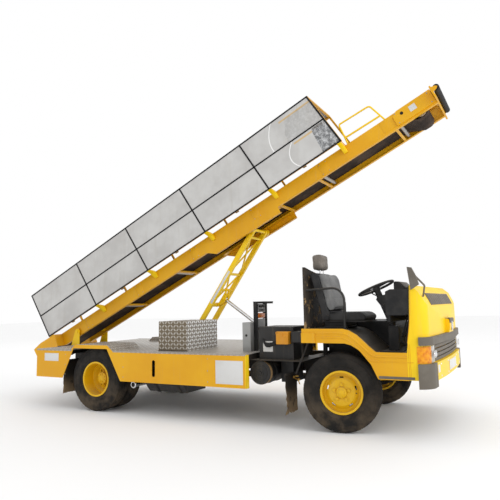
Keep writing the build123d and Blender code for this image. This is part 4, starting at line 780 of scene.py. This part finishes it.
def tyre(name, centre, axis):
    """A road tyre: ribs and grooves round the tread, shoulder blocks, raised rings on the walls."""
    half = [(0.2040, 0.0780), (0.2190, 0.0790), (0.2230, 0.0880), (0.2500, 0.0955), (0.2530, 0.0990), (0.2590, 0.0990),
            (0.2620, 0.0965), (0.2930, 0.0985), (0.3210, 0.0970), (0.3240, 0.1005), (0.3330, 0.1000), (0.3360, 0.0965), (0.3560, 0.0945), (0.3740, 0.0850),
            (0.3800, 0.0770), (0.3815, 0.0600), (0.3740, 0.0570), (0.3740, 0.0500), (0.3835, 0.0480), (0.3840, 0.0250),
            (0.3750, 0.0220), (0.3750, 0.0150), (0.3845, 0.0130)]
    half = [(0.223 + (r - 0.223) * 1.0712 if r > 0.223 else r, a) for r, a in half]
    profile = half + [(r, -a) for r, a in reversed(half)]
    body = spun(name, profile, (0, 0, 0), (0, 0, 1), 72)
    lug = block("lug", (0.360, -0.0085, 0.078), (0.3925, 0.0085, 0.0955), 0)
    for vertex in lug.data.vertices:
        if vertex.co.z > 0.09 and vertex.co.x > 0.38:
            vertex.co.z -= 0.012
            vertex.co.x -= 0.004
    soften(lug, 0.0015, 1)
    lugs = []
    for side in (1, -1):
        flip = Matrix.Scale(side, 4, (0, 0, 1))
        for k in range(48):
            turn = Matrix.Rotation(2 * pi * (k + (0.5 if side < 0 else 0)) / 48, 4, "Z")
            lugs.append(placed(lug, "lug", turn @ flip))
    blocks = merged("lugs", lugs)
    bpy.data.objects.remove(lug)
    take(blocks)
    bpy.ops.object.mode_set(mode="EDIT")
    bpy.ops.mesh.select_all(action="SELECT")
    bpy.ops.mesh.normals_make_consistent(inside=False)
    bpy.ops.object.mode_set(mode="OBJECT")
    whole = merged(name, [body, blocks])
    whole.rotation_mode = "QUATERNION"
    whole.rotation_quaternion = Vector(axis).to_track_quat("Z", "Y")
    whole.location = centre
    settle(whole)
    return whole


def nut(name, place, axis, size=0.017, height=0.016):
    """A wheel nut with its washer and stud end."""
    axis = Vector(axis).normalized()
    hexagon = rod(name, place, Vector(place) + axis * height, size, 6, 0.0015)
    washer = rod("washer", place, Vector(place) + axis * 0.003, size * 1.25, 20)
    stud = rod("stud", Vector(place) + axis * height * 0.5, Vector(place) + axis * (height + 0.008), size * 0.5, 14,
               0.001)
    return merged(name, [hexagon, washer, stud])


def wheel_pieces():
    for name, pivot, reach, side, body, node in WHEELS:
        pivot = at(*pivot)
        steered = name.startswith("front")
        axis = Vector((-sin(STEER), cos(STEER), 0)) if steered else Vector((0, 1, 0))
        out = axis * side
        if steered:
            middle = pivot + out * (reach / 1000)
            outfit(tyre("tyre_" + name, middle, axis), body, rubber, stands_for=[node])
            face, count, radius, first = middle + out * 0.068, 5, 0.080, 0.3
            crown = dome("hub_cap", (0, 0, 0), (0.036, 0.036, 0.012))
            crown.rotation_mode = "QUATERNION"
            crown.rotation_quaternion = out.to_track_quat("Z", "Y")
            crown.location = middle + out * 0.092
            settle(crown)
            size, height = 0.018, 0.020
        else:
            tyres = [tyre("twin", pivot + axis * (k * reach / 1000), axis) for k in (-1, 1)]
            outfit(merged("tyres_" + name, tyres), body, rubber, stands_for=[node])
            face, count, radius, first = pivot + out * 0.014, 10, 0.102, 0.1
            crown = merged("hub_bolts", [
                nut("hub_bolt", pivot + out * 0.100 + Vector((cos(k), 0, sin(k))) * 0.050, out, 0.008, 0.008)
                for k in (0.4 + 2 * pi * j / 8 for j in range(8))])
            size, height = 0.016, 0.020
        nuts = []
        up = Vector((0, 0, 1))
        sideways = up.cross(out)
        for k in range(count):
            turn = first + 2 * pi * k / count
            place = face + (sideways * cos(turn) + up * sin(turn)) * radius
            nuts.append(nut("nut", place, out, size, height))
        outfit(merged("nuts_" + name, nuts + [crown]), body, rim_paint)
        valve = merged("valve_" + name, [
            rod("valve_stem", face + sideways * 0.15, face + sideways * 0.15 + out * 0.03, 0.004, 10),
            dome("valve_cap", face + sideways * 0.15 + out * 0.032, (0.006, 0.006, 0.006))])
        outfit(valve, body, black_moulding)


# Canopy and boom

def canopy_pieces():
    """Black seals round each sheet."""
    strips = []
    y0, y1 = -408, -402
    for rise in (4, 364, 738):
        (u0, v0), (u1, v1) = canopy_uv(0, rise), canopy_uv(5, rise)
        strips.append(boom_block("seal", u0 - 8, u1 + 8, y0, y1, v0 - 11, v0 + 9, 0.0015))
    for k in range(6):
        (u0, v0), (u1, v1) = canopy_uv(k, 0), canopy_uv(k, 742)
        length = hypot(u1 - u0, v1 - v0)
        middle = ((u0 + u1) / 2, (v0 + v1) / 2)
        post = boom_block("seal", middle[0] - 11, middle[0] + 11, y0, y1 - 0.4, middle[1] - length / 2,
                          middle[1] + length / 2, 0.0015, turn=radians(7.7))
        strips.append(post)
    outfit(merged("canopy_seals", strips), "boom", seal_black_and_painted_shade)


def bare_plate(name, corners, out, body, finish=None, thick=0.002, rivets=True):
    """A blank plate with a rivet in each corner, its face outwards."""
    low, high = Vector(corners[0]), Vector(corners[1])
    plate = block(name, low, high, 0.0008)
    parts = [plate]
    if rivets:
        out = Vector(out)
        spans = [high[k] - low[k] for k in range(3)]
        thin = min(range(3), key=lambda k: abs(spans[k]))
        others = [k for k in range(3) if k != thin]
        for a in (0.06, 0.94):
            for b in (0.06, 0.94):
                place = Vector(low)
                place[thin] = (high if out[thin] * spans[thin] > 0 else low)[thin]
                place[others[0]] = low[others[0]] + spans[others[0]] * a
                place[others[1]] = low[others[1]] + spans[others[1]] * b
                parts.append(dome("rivet", place, (0.005, 0.005, 0.005)))
    outfit(merged(name, parts), body, finish or white_plate)


# Cab

SEAT_Y = -620


def seat_pieces():
    """The driver's seat: a black cushion, a grey-faced back and headrest in a black shell, on slides."""
    pad = side_piece("seat_cushion", [(-186, 1092), (-190, 1160), (-150, 1172), (200, 1172), (255, 1162), (275, 1135),
                                      (262, 1096), (60, 1090)], SEAT_Y - 222, SEAT_Y + 222, 18)
    plumped(pad, 0.006, 0.012)
    channel(pad, 1, (SEAT_Y - 150) / 1000)
    channel(pad, 1, (SEAT_Y + 150) / 1000)
    channel(pad, 0, at(205, 0, 0).x, 0.003)
    press_on(pad, "SUBSURF", levels=1)
    outfit(pad, "vehicle", seat_black, stands_for=["seat"], angle=80)

    back = side_piece("seat_back_pad", [(-120, 1196), (-78, 1200), (-92, 1260), (-152, 1545), (-176, 1590), (-215, 1600),
                                        (-238, 1580), (-160, 1240)], SEAT_Y - 214, SEAT_Y + 214, 16)
    plumped(back, 0.006, 0.012)
    channel(back, 1, (SEAT_Y - 140) / 1000)
    channel(back, 1, (SEAT_Y + 140) / 1000)
    channel(back, 2, at(0, 0, 1330).z, 0.003)
    press_on(back, "SUBSURF", levels=1)
    outfit(back, "vehicle", seat_grey, angle=80)

    shell = side_piece("seat_back_shell", [(-205, 1100), (-120, 1100), (-116, 1190), (-150, 1236), (-228, 1580),
                                           (-262, 1604), (-304, 1604), (-326, 1582), (-208, 1190)],
                       SEAT_Y - 224, SEAT_Y + 224, 14)
    press_on(shell, "SUBSURF", levels=2)
    outfit(shell, "vehicle", seat_black, angle=60)

    head = side_piece("headrest_pad", [(-338, 1650), (-344, 1795), (-320, 1806), (-250, 1806), (-230, 1790), (-226, 1660),
                                       (-240, 1642), (-320, 1640)], SEAT_Y - 96, SEAT_Y + 96, 14)
    plumped(head, 0.005, 0.008)
    channel(head, 0, at(-312, 0, 0).x, 0.003)
    press_on(head, "SUBSURF", levels=1)
    outfit(head, "vehicle", headrest_cloth, angle=80)

    stems = [rod("headrest_stem", at(-270, SEAT_Y + y, 1590), at(-270, SEAT_Y + y, 1660), 0.007, 16) for y in (-50, 50)]
    outfit(merged("headrest_stems", stems), "vehicle", chrome)
    under = [piece("seat_base", -185, 45, SEAT_Y - 190, SEAT_Y + 190, 1040, 1090, 6),
             piece("seat_pan", -195, 262, SEAT_Y - 216, SEAT_Y + 216, 1082, 1096, 5)]
    for y in (-170, 170):
        under.append(piece("seat_slide", -190, 50, SEAT_Y + y - 18, SEAT_Y + y + 18, 1017, 1040, 3))
    under.append(rod("slide_handle", at(50, SEAT_Y - 120, 1032), at(50, SEAT_Y + 120, 1032), 0.006, 12))
    under.append(rod("recliner_knob", at(-150, SEAT_Y - 234, 1130), at(-150, SEAT_Y - 214, 1130), 0.028, 28, 0.004))
    outfit(merged("seat_frame", under), "vehicle", black_moulding)


def dash_pieces():
    """What the driver reads and works: dials, vents, switches, stalks and pedals."""
    parts = []
    rear = 504.5
    for k, y in enumerate((-900, -330, 60, 640, 880)):
        parts.append(piece("vent", rear - 6, rear + 4, y - 50, y + 50, 1310, 1362, 3))
        for j in range(4):
            parts.append(piece("vent_slat", rear - 9, rear - 3, y - 44, y + 44, 1318 + j * 11, 1321 + j * 11, 0.8))
    parts.append(piece("glove_box_lid", rear - 7, rear + 3, 250, 620, 1185, 1290, 8))
    parts.append(piece("glove_box_catch", rear - 12, rear - 5, 420, 450, 1262, 1276, 2))
    parts.append(piece("switch_panel", rear - 6, rear + 3, -260, 120, 1200, 1290, 6))
    for k in range(5):
        parts.append(piece("rocker_switch", rear - 11, rear - 4, -235 + k * 42, -207 + k * 42, 1235, 1262, 2.5))
    for k in range(3):
        parts.append(rod("heater_knob", at(rear - 20, -10 + k * 45, 1220), at(rear - 2, -10 + k * 45, 1220), 0.014, 24, 0.002))
    parts.append(piece("heater_box", 556, 688, -335, 335, 1078, 1152, 12))
    parts.append(piece("knee_panel", 512, 542, -960, 960, 1082, 1154, 8))
    hood = side_piece("dial_hood", [(548, 1402), (548, 1470), (560, 1482), (610, 1478), (665, 1420), (655, 1398)],
                      SEAT_Y - 172, SEAT_Y + 172, 8)
    parts.append(hood)
    outfit(merged("dash_fittings", parts), "vehicle", black_moulding)
    faces = []
    for y, r in ((-85, 0.040), (0, 0.026), (85, 0.040)):
        place = at(546, SEAT_Y + y, 1436)
        faces.append(ring("dial_ring", place, (-1, 0, 0), r, 0.003, 40, 8))
        faces.append(rod("dial_needle_hub", place, place + Vector((-0.004, 0, 0)), 0.005, 16))
        for j in range(9):
            turn = radians(-30 + j * 30)
            mark = place + Vector((-0.001, cos(turn) * r * 0.8, sin(turn) * r * 0.8))
            faces.append(dome("dial_mark", mark, (0.001, 0.0016, 0.0016)))
    outfit(merged("dials", faces), "vehicle", chrome)

    stalks = []
    for side in (1, -1):
        start = at(352, SEAT_Y + side * 52, 1340)
        stalks.append(bent_tube("stalk", [start, start + Vector((-0.01, side * 0.06, 0.01)),
                                          start + Vector((-0.03, side * 0.15, 0.035))], 0.006, 0.03, 12))
        stalks.append(dome("stalk_end", start + Vector((-0.031, side * 0.153, 0.036)), (0.009, 0.014, 0.009)))
    stalks.append(rod("ignition_barrel", at(430, SEAT_Y - 58, 1250), at(430, SEAT_Y - 78, 1250), 0.016, 24, 0.003))
    for k, z in enumerate((1110, 1085, 1060)):
        stalks.append(ring("column_bellows", at(452 + k * 10, SEAT_Y, z), (0.37, 0, -0.93), 0.034, 0.008, 32, 10))
    outfit(merged("column_fittings", stalks), "vehicle", black_moulding)
    pedals = []
    for y, width in ((-760, 70), (-660, 80), (-520, 46)):
        pedals.append(piece("pedal", 596, 604, y - width / 2, y + width / 2, 880, 950, 3))
        for j in range(4):
            pedals.append(piece("pedal_rib", 592, 597, y - width / 2 + 5, y + width / 2 - 5, 890 + j * 15, 895 + j * 15, 1))
        pedals.append(rod("pedal_arm", at(604, y, 930), at(660, y, 1120), 0.008, 14))
    outfit(merged("pedals", pedals), "vehicle", black_moulding)


def cowl_pieces():
    """Trim on the nose: screen-base panel, seals, grooves, badge place, bumper plates and bolts."""
    panel = side_piece("screen_base_panel", [(826, 1357), (861, 1290), (884, 1241), (888, 1243), (865, 1292), (830, 1359)],
                       -700, 700, 1)
    ribs = [panel]
    for k in range(12):
        y = -640 + k * 116
        ribs.append(side_piece("panel_rib", [(832, 1350), (861, 1294), (882, 1249), (887, 1250), (866, 1296), (837, 1352)],
                               y, y + 6, 0.8))
    outfit(merged("screen_base_panel", ribs), "vehicle", grey_moulding)

    seals = []
    for side in (-1, 1):
        seals.append(bent_tube("door_seal", [at(430, side * 986, 808), at(684, side * 986, 808), at(718, side * 986, 1081),
                                             at(736, side * 986, 1428)], 0.007, 0.05, 12))
    outfit(merged("door_seals", seals), "vehicle", seal_black_and_painted_shade)

    lines = []
    for side in (-1, 1):
        y0, y1 = sorted((side * 999.5, side * 1002.5))
        for x in (702, 716):
            lines.append(piece("cowl_rib", x, x + 4, y0, y1, 560, 880, 1))
        lines.append(piece("sill_lip", 412, 700, *sorted((side * 999.5, side * 1008)), 546, 553, 1.5))
        lines.append(piece("sill_crease", 432, 748, *sorted((side * 999.5, side * 1003)), 708, 714, 1.5))
        lines.append(bent_tube("panel_line", [at(700, side * 1000, 890), at(735, side * 1000, 1120), at(750, side * 1000, 1400)],
                               0.0035, 0.1, 8))
    outfit(merged("cowl_ribs", lines), "vehicle", amber)
    steps = []
    for side in (-1, 1):
        steps.append(piece("step_strip", 414, 752, *sorted((side * 999.5, side * 1006)), 553.5, 578, 2))
    outfit(merged("step_strips", steps), "vehicle", grey_moulding)

    cap = [side_piece("nose_cap", [(900, 1089.5), (900, 1093), (966, 1093), (971, 1088), (971, 1046), (968.3, 1044),
                                   (968.3, 1089.5)], -141, 141, 1.5)]
    cap.append(bowed_piece("nose_band", -700, 700, 930, 944, 30, 3, 1))
    outfit(merged("nose_trim", cap), "vehicle", grey_moulding)
    badge = rod("badge_place", at(966, 0, 1010), at(972, 0, 1010), 0.046, 48, 0.002)
    outfit(merged("badge_place", [badge, ring("badge_rim", at(971, 0, 1010), (1, 0, 0), 0.047, 0.004, 48, 10)]), "vehicle",
           chrome)

    blanks = [bowed_piece("bare_square", y0, y1, 600, 672, 34.2, 1.6, 0.5, 3) for y0, y1 in ((-765, -690), (690, 765))]
    blanks.append(bowed_piece("blank_plate", -230, 230, 566, 668, 35, 3, 1))
    outfit(merged("bumper_blank_plates", blanks), "vehicle", white_plate)
    bolts = []
    for y in (-640, -300, 300, 640):
        for z in (560, 672):
            x = 920 - 35 * (y / 850) ** 2 + 34
            bolts.append(dome("bumper_bolt", at(x, y, z), (0.006, 0.011, 0.011)))
    for y in (-205, 205):
        for z in (580, 654):
            x = 920 - 35 * (y / 850) ** 2 + 38
            bolts.append(dome("plate_bolt", at(x, y, z), (0.003, 0.006, 0.006)))
    outfit(merged("bumper_bolts", bolts), "vehicle", chrome)
    wells = []
    for side in (-1, 1):
        for y in (790, 845):
            place = at(917, side * y, 780)
            wells.append(ring("headlamp_rim", place, (1, side * 0.07, 0), 0.030, 0.004, 36, 10))
            wells.append(dome("headlamp_bulb", place, (0.006, 0.022, 0.022)))
    outfit(merged("headlamp_rims", wells), "vehicle", chrome)


def fender_pieces():
    """The two pressed ribs that follow each front fender's top line, and its end cap's edge."""
    ribs = []
    for side in (-1, 1):
        y = side * 999.5
        for outline, radius in (
                (((-224, 981), (60, 981), (114, 968), (186, 923), (246, 868), (298, 818), (367, 760), (688, 760)), 0.010),
                (((-224, 938), (46, 938), (96, 926), (160, 886), (219, 833), (272, 783), (344, 720), (420, 716)), 0.009)):
            ribs.append(bent_tube("fender_rib", [at(x, y, z) for x, z in outline], radius, 0.04, 12))
        ribs.append(piece("fender_end_lip", -378, -372, *sorted((side * 985, side * 1009)), 880, 978, 1.5))
    outfit(merged("fender_ribs", ribs), "vehicle", amber)


# Behind the cab

def yard_pieces():
    """What hangs between cab and deck: drum ends, box cover, plate, leads, fittings, strut, lamp, panels and switches.
    """
    cover = piece("small_box_cover", -703.5, -559.5, -932, -850.6, 853.5, 985.5, 6)
    lid = piece("small_box_lid", -706, -557, -934, -850.6, 962, 988, 3)
    catch = piece("small_box_catch", -640, -622, -939, -930, 940, 975, 2)
    outfit(merged("small_box_cover", [cover, lid, catch]), "vehicle", rust_paint)
    bare_plate("battery_box_plate", (at(-898, -852.6, 767), at(-780, -850.4, 880)), (0, -1, 0), "vehicle")
    leads = []
    for k, drop in enumerate((0, 22, 40)):
        leads.append(bent_tube("lead", [at(-905 + k * 12, -858, 905 - drop * 0.3), at(-880 + k * 10, -866, 862 - drop),
                                        at(-800, -872, 850 - drop * 0.6), at(-730, -868, 880 - drop * 0.5),
                                        at(-700, -862, 885 - drop * 0.5)], 0.010, 0.05, 14))
    leads.append(dome("lead_end", at(-704, -866, 878), (0.020, 0.018, 0.022)))
    leads.append(piece("lead_clip", -810, -792, -884, -850.5, 820, 866, 3))
    outfit(merged("battery_leads", leads), "vehicle", seal_black_and_painted_shade)

    near = -930
    drum = [ring("drum_rim", at(-900, near + 4, 549), (0, 1, 0), 0.119, 0.006, 64, 12),
            ring("drum_bead", at(-900, near - 1, 549), (0, 1, 0), 0.082, 0.004, 56, 10),
            ring("drum_step", at(-900, near - 1, 549), (0, 1, 0), 0.040, 0.004, 40, 10),
            rod("drum_boss", at(-900, near - 12, 549), at(-900, near + 2, 549), 0.017, 6, 0.002),
            ring("drum_band", at(-900, near + 150, 549), (0, 1, 0), 0.126, 0.004, 64, 8),
            ring("drum_band", at(-900, near + 350, 549), (0, 1, 0), 0.126, 0.004, 64, 8)]
    outfit(merged("drum_rings", drum), "vehicle", black_steel)
    rim = spun("drum_dirty_band", [(0.1252, 0.0), (0.1268, 0.002), (0.1268, 0.040), (0.1252, 0.042)],
               at(-900, near + 6, 549), (0, 1, 0), 72)
    outfit(rim, "vehicle", tan_dirt_and_painted_shade)

    fittings = []
    for x, y, z in ((-690, -720, 512), (-660, -735, 500), (-600, -740, 498), (-560, -742, 505), (-540, -745, 470)):
        fittings.append(rod("fitting", at(x, y, z), at(x + 16, y, z), 0.013, 6, 0.0015))
        fittings.append(rod("fitting_neck", at(x - 12, y, z), at(x + 28, y, z), 0.008, 16))
    fittings.append(bent_tube("brass_pipe", [at(-690, -720, 512), at(-620, -738, 490), at(-540, -745, 470),
                                             at(-520, -745, 420)], 0.006, 0.03, 12))
    outfit(merged("brass_fittings", fittings), "vehicle", brass)

    strut = [rod("fender_strut", at(-330, side * 950, 872), at(-470, side * 950, 558), 0.010, 16) for side in (-1, 1)]
    for side in (-1, 1):
        strut.append(piece("fender_liner", -384, -378, *sorted((side * 690, side * 985)), 752, 878, 1.5))
        strut.append(rod("strut_foot", at(-470, side * 950, 562), at(-540, side * 740, 560), 0.010, 16))
    outfit(merged("fender_struts", strut), "vehicle", chassis_black)

    lamp = piece("marker_lamp", -1106, -1092, -560, -404, 1128, 1176, 5)
    outfit(merged("marker_lamp", [lamp, piece("lamp_bezel", -1108, -1100, -566, -398, 1122, 1182, 3)]), "vehicle",
           amber_lens)
    panel = [piece("gauge_panel", -1110, -1098, -572, -388, 1190, 1286, 3),
             piece("lower_panel", -1110, -1098, -572, -388, 1010, 1116, 3)]
    outfit(merged("stand_panels", panel), "vehicle", grey_sheet)
    knobs = []
    for k in range(3):
        for z in (1216, 1258):
            knobs.append(rod("switch", at(-1098, -530 + k * 50, z), at(-1088, -530 + k * 50, z), 0.010, 20, 0.002))
    knobs.append(piece("tray_lip", -1138, -1012, -624, -336, 1308, 1316, 2))
    for y in (-560, -400):
        knobs.append(piece("cabinet_hinge", -1160, -1140, y - 12, y + 12, 1076.5, 1082, 1))
    knobs.append(rod("cabinet_catch", at(-1190, -706, 930), at(-1190, -699, 930), 0.014, 24, 0.002))
    outfit(merged("stand_fittings", knobs), "vehicle", black_moulding)


def flap_pieces():
    """Rubber mudflaps: worn ragged at the foot in front, with a dirty lower part behind."""
    flaps = []
    for x, y0, y1, z0, z1, wear in ((-600, 640, 960, 125, 550, 34), (-3793, 560, 990, 180, 600, 5)):
        for side in (-1, 1):
            steps = 26
            top, foot = [], []
            for k in range(steps + 1):
                y = side * (y0 + (y1 - y0) * k / steps)
                top.append(at(x - 3, y, z1))
                foot.append(at(x - 3, y, z0 + wear * random.random() * (1.6 if k % 3 == 0 else 0.7)))
            edge_in, edge_out = [], []
            for k in range(1, 12):
                z = z1 + (z0 - z1) * k / 13
                edge_out.append(at(x - 3, side * (y1 - wear * (0.4 + 1.6 * random.random()) * min(1, k / 4)), z))
                edge_in.append(at(x - 3, side * (y0 + wear * 0.3 * random.random()), z))
            outline = top + edge_out + list(reversed(foot)) + list(reversed(edge_in))
            flap = pulled("mudflap", outline, (0.006, 0, 0), 0)
            flaps.append(flap)
            strip = piece("flap_strip", x - 7, x + 6, *sorted((side * y0, side * y1)), z1 - 30, z1 - 2, 1.5)
            flaps.append(strip)
    outfit(merged("mudflap_sheets", flaps), "vehicle", flap_rubber, stands_for=["mudflaps"])


# Deck

def deck_pieces():
    """Bright edges round the skirts, the chequered edge strip, rivets, tank straps and the exhaust's end."""
    trims, strips, rivets = [], [], []
    for side in (-1, 1):
        y0, y1 = sorted((side * 1049.8, side * 1052.5))
        trims.append(piece("skirt_front_edge", -1019, -1004, y0, y1, 392, 742, 1))
        trims.append(piece("skirt_end", -1009, -1003, *sorted((side * 1000, side * 1052.5)), 392, 742, 1))
        for x0, x1 in ((-4228, -3590), (-2890, -1006)):
            strips.append(piece("deck_edge_strip", x0, x1, *sorted((side * 1012, side * 1052)), 748.2, 752.6, 1))
            strips.append(piece("deck_edge_fall", x0, x1, *sorted((side * 1050, side * 1052.4)), 734, 752.6, 0.6))
        for x in [-4190 + k * 120 for k in range(5)] + [-2830 + k * 120 for k in range(15)]:
            rivets.append(dome("deck_rivet", at(x, side * 1052.2, 743), (0.005, 0.002, 0.005)))
        for x in (-3700, -2720, -1500):
            for z in (440, 560, 690):
                rivets.append(dome("skirt_rivet", at(x, side * 1050.4, z), (0.006, 0.0025, 0.006)))
    # The skirt edges take the brighter amber copy: painted sunlight.
    outfit(merged("skirt_edges", trims), "vehicle", amber_painted_sunlit)
    outfit(merged("deck_edge_strips", strips), "vehicle", tread_plate)
    outfit(merged("deck_rivets", rivets), "vehicle", dull_steel)

    # A black strip along the foot of the deck box: a painted shadow where the box meets the deck.
    shadow = [piece("box_foot_painted_shadow", -2316, -1893, -883, -878.4, 750.3, 757, 0.8)]
    outfit(merged("box_foot_painted_shadow", shadow), "vehicle", seal_black_and_painted_shade)

    straps = []
    for x in (-2330, -2010):
        band = [(-952, 521), (-953, 359), (-872, 267), (-478, 267), (-478, 264), (-874, 264), (-956, 357), (-956, 521)]
        straps.append(pulled("tank_strap", [at(x, y, z) for y, z in band], (0.045, 0, 0), 0.5))
    cap = spun("tank_cap", [(0.0, 0.0), (0.036, 0.0), (0.038, 0.006), (0.038, 0.022), (0.030, 0.028), (0.0, 0.028)],
               at(-1960, -949, 470), (0, -1, 0), 32)
    outfit(merged("tank_straps", straps + [cap]), "vehicle", chassis_black)
    # The pipe's open end is a black disc: soot, and painted shade for the inside of the pipe.
    mouth = rod("pipe_mouth", at(-2620, -983.5, 345), at(-2620, -980, 345), 0.024, 36)
    outfit(merged("exhaust_mouth", [mouth, ring("pipe_soot", at(-2620, -981, 345), (0, 1, 0), 0.024, 0.002, 36, 8)]),
           "vehicle", seal_black_and_painted_shade)
    tail = [ring("pipe_flare", at(-2620, -972, 345), (0, 1, 0), 0.033, 0.009, 40, 12),ring("pipe_lip", at(-2620, -979, 345), (0, 1, 0), 0.030, 0.0035, 40, 10),
            ring("pipe_clamp", at(-2620, -700, 345), (0, 1, 0), 0.033, 0.005, 40, 8)]
    outfit(merged("exhaust_rings", tail), "vehicle", chrome)


# Lift frame

LEG_TURN = radians(54.98)


def on_leg(along, y, across):
    """A place on the lift frame: along a leg from its foot pin, and square to it."""
    x = -2330 + along * cos(LEG_TURN) - across * sin(LEG_TURN)
    return at(x, y, 840 + along * sin(LEG_TURN) + across * cos(LEG_TURN))


def leg_block(name, s0, s1, y0, y1, t0, t1, edge=1.0):
    """A block lying along a leg of the lift frame."""
    thing = block(name, (s0 / 1000, y0 / 1000, t0 / 1000), (s1 / 1000, y1 / 1000, t1 / 1000), edge / 1000)
    thing.rotation_euler = (0, -LEG_TURN, 0)
    settle(thing)
    thing.location = on_leg(0, 0, 0)
    settle(thing)
    return thing


def lift_pieces():
    """The bare strip on the near leg, weld plates and collars at its joints."""
    strip = leg_block("bare_leg_strip", 575, 1075, -181.2, -180.1, -17, 17, 0.3)
    outfit(strip, "lift_frame", white_plate)
    parts = []
    for side in (-1, 1):
        y0, y1 = sorted((side * 180, side * 184))
        for s in (150, 1594):
            parts.append(leg_block("weld_plate", s - 45, s + 45, y0, y1, -26, 26, 1.5))
            for k in (-28, 28):
                centre = on_leg(s + k, side * 184, 0)
                parts.append(rod("leg_bolt", centre, centre + Vector((0, side * 0.007, 0)), 0.008, 6, 0.001))
        centre = on_leg(0, side * 180.2, 0)
        parts.append(rod("pin_collar", centre, centre + Vector((0, side * 0.006, 0)), 0.026, 32, 0.0015))
    # The lift frame's plates take the brighter amber copy: painted sunlight.
    outfit(merged("lift_frame_plates", parts), "lift_frame", amber_painted_sunlit)


# Boom

def boom_pieces():
    """Doubler plates, bolts, the head cover's hole and bare label, and the canopy's brackets."""
    plates, bolts = [], []
    for side in (-1, 1):
        y0, y1 = sorted((side * 264.8, side * 268))
        for k in range(6):
            u = 250 + k * 1039
            plates.append(boom_block("doubler", u - 60, u + 60, y0, y1, -50, 105, 0.0015))
            for du in (-45, 45):
                for v in (-35, 90):
                    bolts.append(dome("boom_bolt", on_boom(u + du, side * 268, v), (0.006, 0.004, 0.006)))
        plates.append(boom_block("head_doubler", 5200, 5362, y0, y1, -30, 112, 0.0015))
        for u in (5400, 5800):
            for v in (-25, 95):
                bolts.append(dome("head_bolt", on_boom(u, side * 283.5, v), (0.007, 0.004, 0.007)))
    outfit(merged("boom_doublers", plates), "boom", amber)
    outfit(merged("boom_bolts", bolts), "boom", dull_steel)
    # The head cover's holes are black discs with black lips: painted shade where the inside of each hole would show.
    holes = []
    for side in (-1, 1):
        centre = on_boom(5470, side * 283.4, 60)
        hole = rod("head_hole", centre, centre + Vector((0, side * 0.001, 0)), 0.016, 32)
        holes.append(hole)
        holes.append(ring("head_hole_lip", centre, (0, 1, 0), 0.017, 0.002, 32, 8))
    outfit(merged("head_cover_holes", holes), "boom", seal_black_and_painted_shade)
    label = [boom_block("bare_label", 5560, 5640, -285, -283.2, 10, 80, 0.0005)]
    outfit(merged("head_bare_label", label), "boom", white_plate)

    feet, spacers = [], []
    for side in (-1, 1):
        for k in range(6):
            u, v = canopy_uv(k, 0)
            u = min(max(u, -400), 4720)
            arm = ((266, 30), (266, 112), (300, 124), (345, 131), (403, 135), (403, 127), (372, 116), (330, 88),
                   (296, 50), (280, 30))
            feet.append(pulled("canopy_foot", [on_boom(u - 26, side * y, v) for y, v in arm],
                               on_boom(52, 0, 0) - on_boom(0, 0, 0), 1.5))
        # The small spacers take the tan finish as painted shade, for small posts that stand in shadow.
        for k in range(5):
            u, v = canopy_uv(k + 0.5, 0)
            y0, y1 = sorted((side * 372, side * 402))
            spacers.append(boom_block("spacer", u - 22, u + 22, y0, y1, v - 16, v - 1, 0.002))
    # The canopy's foot brackets take the brighter amber copy: painted sunlight.
    outfit(merged("canopy_foot_brackets", feet), "boom", amber_painted_sunlit)
    outfit(merged("canopy_spacers", spacers), "boom", tan_dirt_and_painted_shade)


# Scene

def stage():
    put_down()
    bpy.context.scene.view_settings.view_transform = "Standard"
    bpy.ops.mesh.primitive_plane_add(size=80, location=(0, 0, 0))
    floor = bpy.context.object
    floor.name = "floor"
    f = Finish("floor_paint")
    f.set(Base_Color=f.blend((0.93, 0.93, 0.93), (0.95, 0.95, 0.95), f.noise(0.6, 2)), Roughness=0.9)
    floor.data.materials.append(f.material)
    world = bpy.data.worlds.new("studio")
    bpy.context.scene.world = world
    world.use_nodes = True
    back = world.node_tree.nodes["Background"]
    back.inputs[0].default_value = (1.0, 1.0, 1.0, 1)
    back.inputs[1].default_value = 1.0
    for name, place, aim, size, power in (
            ("key", (13, -3, 6), (1.5, 0, 1), 5, 520),
            ("back", (-8, 9, 9), (0, 0, 1), 8, 120)):
        lamp = bpy.data.lights.new(name, "AREA")
        lamp.size = size
        lamp.energy = power
        holder = bpy.data.objects.new(name, lamp)
        bpy.context.collection.objects.link(holder)
        holder.location = place
        holder.rotation_euler = (Vector(aim) - Vector(place)).to_track_quat("-Z", "Y").to_euler()


def camera():
    """The photograph's view, found from the wheels and the boom."""
    yaw, pitch, roll = radians(27.621), radians(7.043), radians(-1.244)
    forward = Vector((-sin(yaw) * cos(pitch), cos(yaw) * cos(pitch), sin(pitch)))
    level = Vector((cos(yaw), sin(yaw), 0))
    up = level.cross(forward)
    right = level * cos(roll) + up * sin(roll)
    up = up * cos(roll) - level * sin(roll)
    lens_mm = 533.014 / 500 * 36
    eye = bpy.data.cameras.new("eye")
    eye.lens = lens_mm
    eye.sensor_width = 36
    eye.sensor_fit = "HORIZONTAL"
    eye.shift_x = (250 - 256.17) / 500
    eye.shift_y = (238.475 - 250) / 500
    holder = bpy.data.objects.new("eye", eye)
    bpy.context.collection.objects.link(holder)
    turn = Matrix((right, up, -forward)).transposed().to_4x4()
    holder.matrix_world = Matrix.Translation(at(1820, -6157, 1283)) @ turn
    bpy.context.scene.camera = holder


stage()
camera()
wheel_pieces()
canopy_pieces()
seat_pieces()
dash_pieces()
cowl_pieces()
fender_pieces()
yard_pieces()
flap_pieces()
deck_pieces()
lift_pieces()
boom_pieces()
bare_plate("skirt_placard", (at(-1394, -1052.5, 427), at(-1048, -1050.2, 679)), (0, -1, 0), "vehicle")
bare_plate("skirt_sticker", (at(-4081, -1051.5, 600), at(-3822, -1050.2, 700)), (0, -1, 0), "vehicle", rivets=False)

put_down()
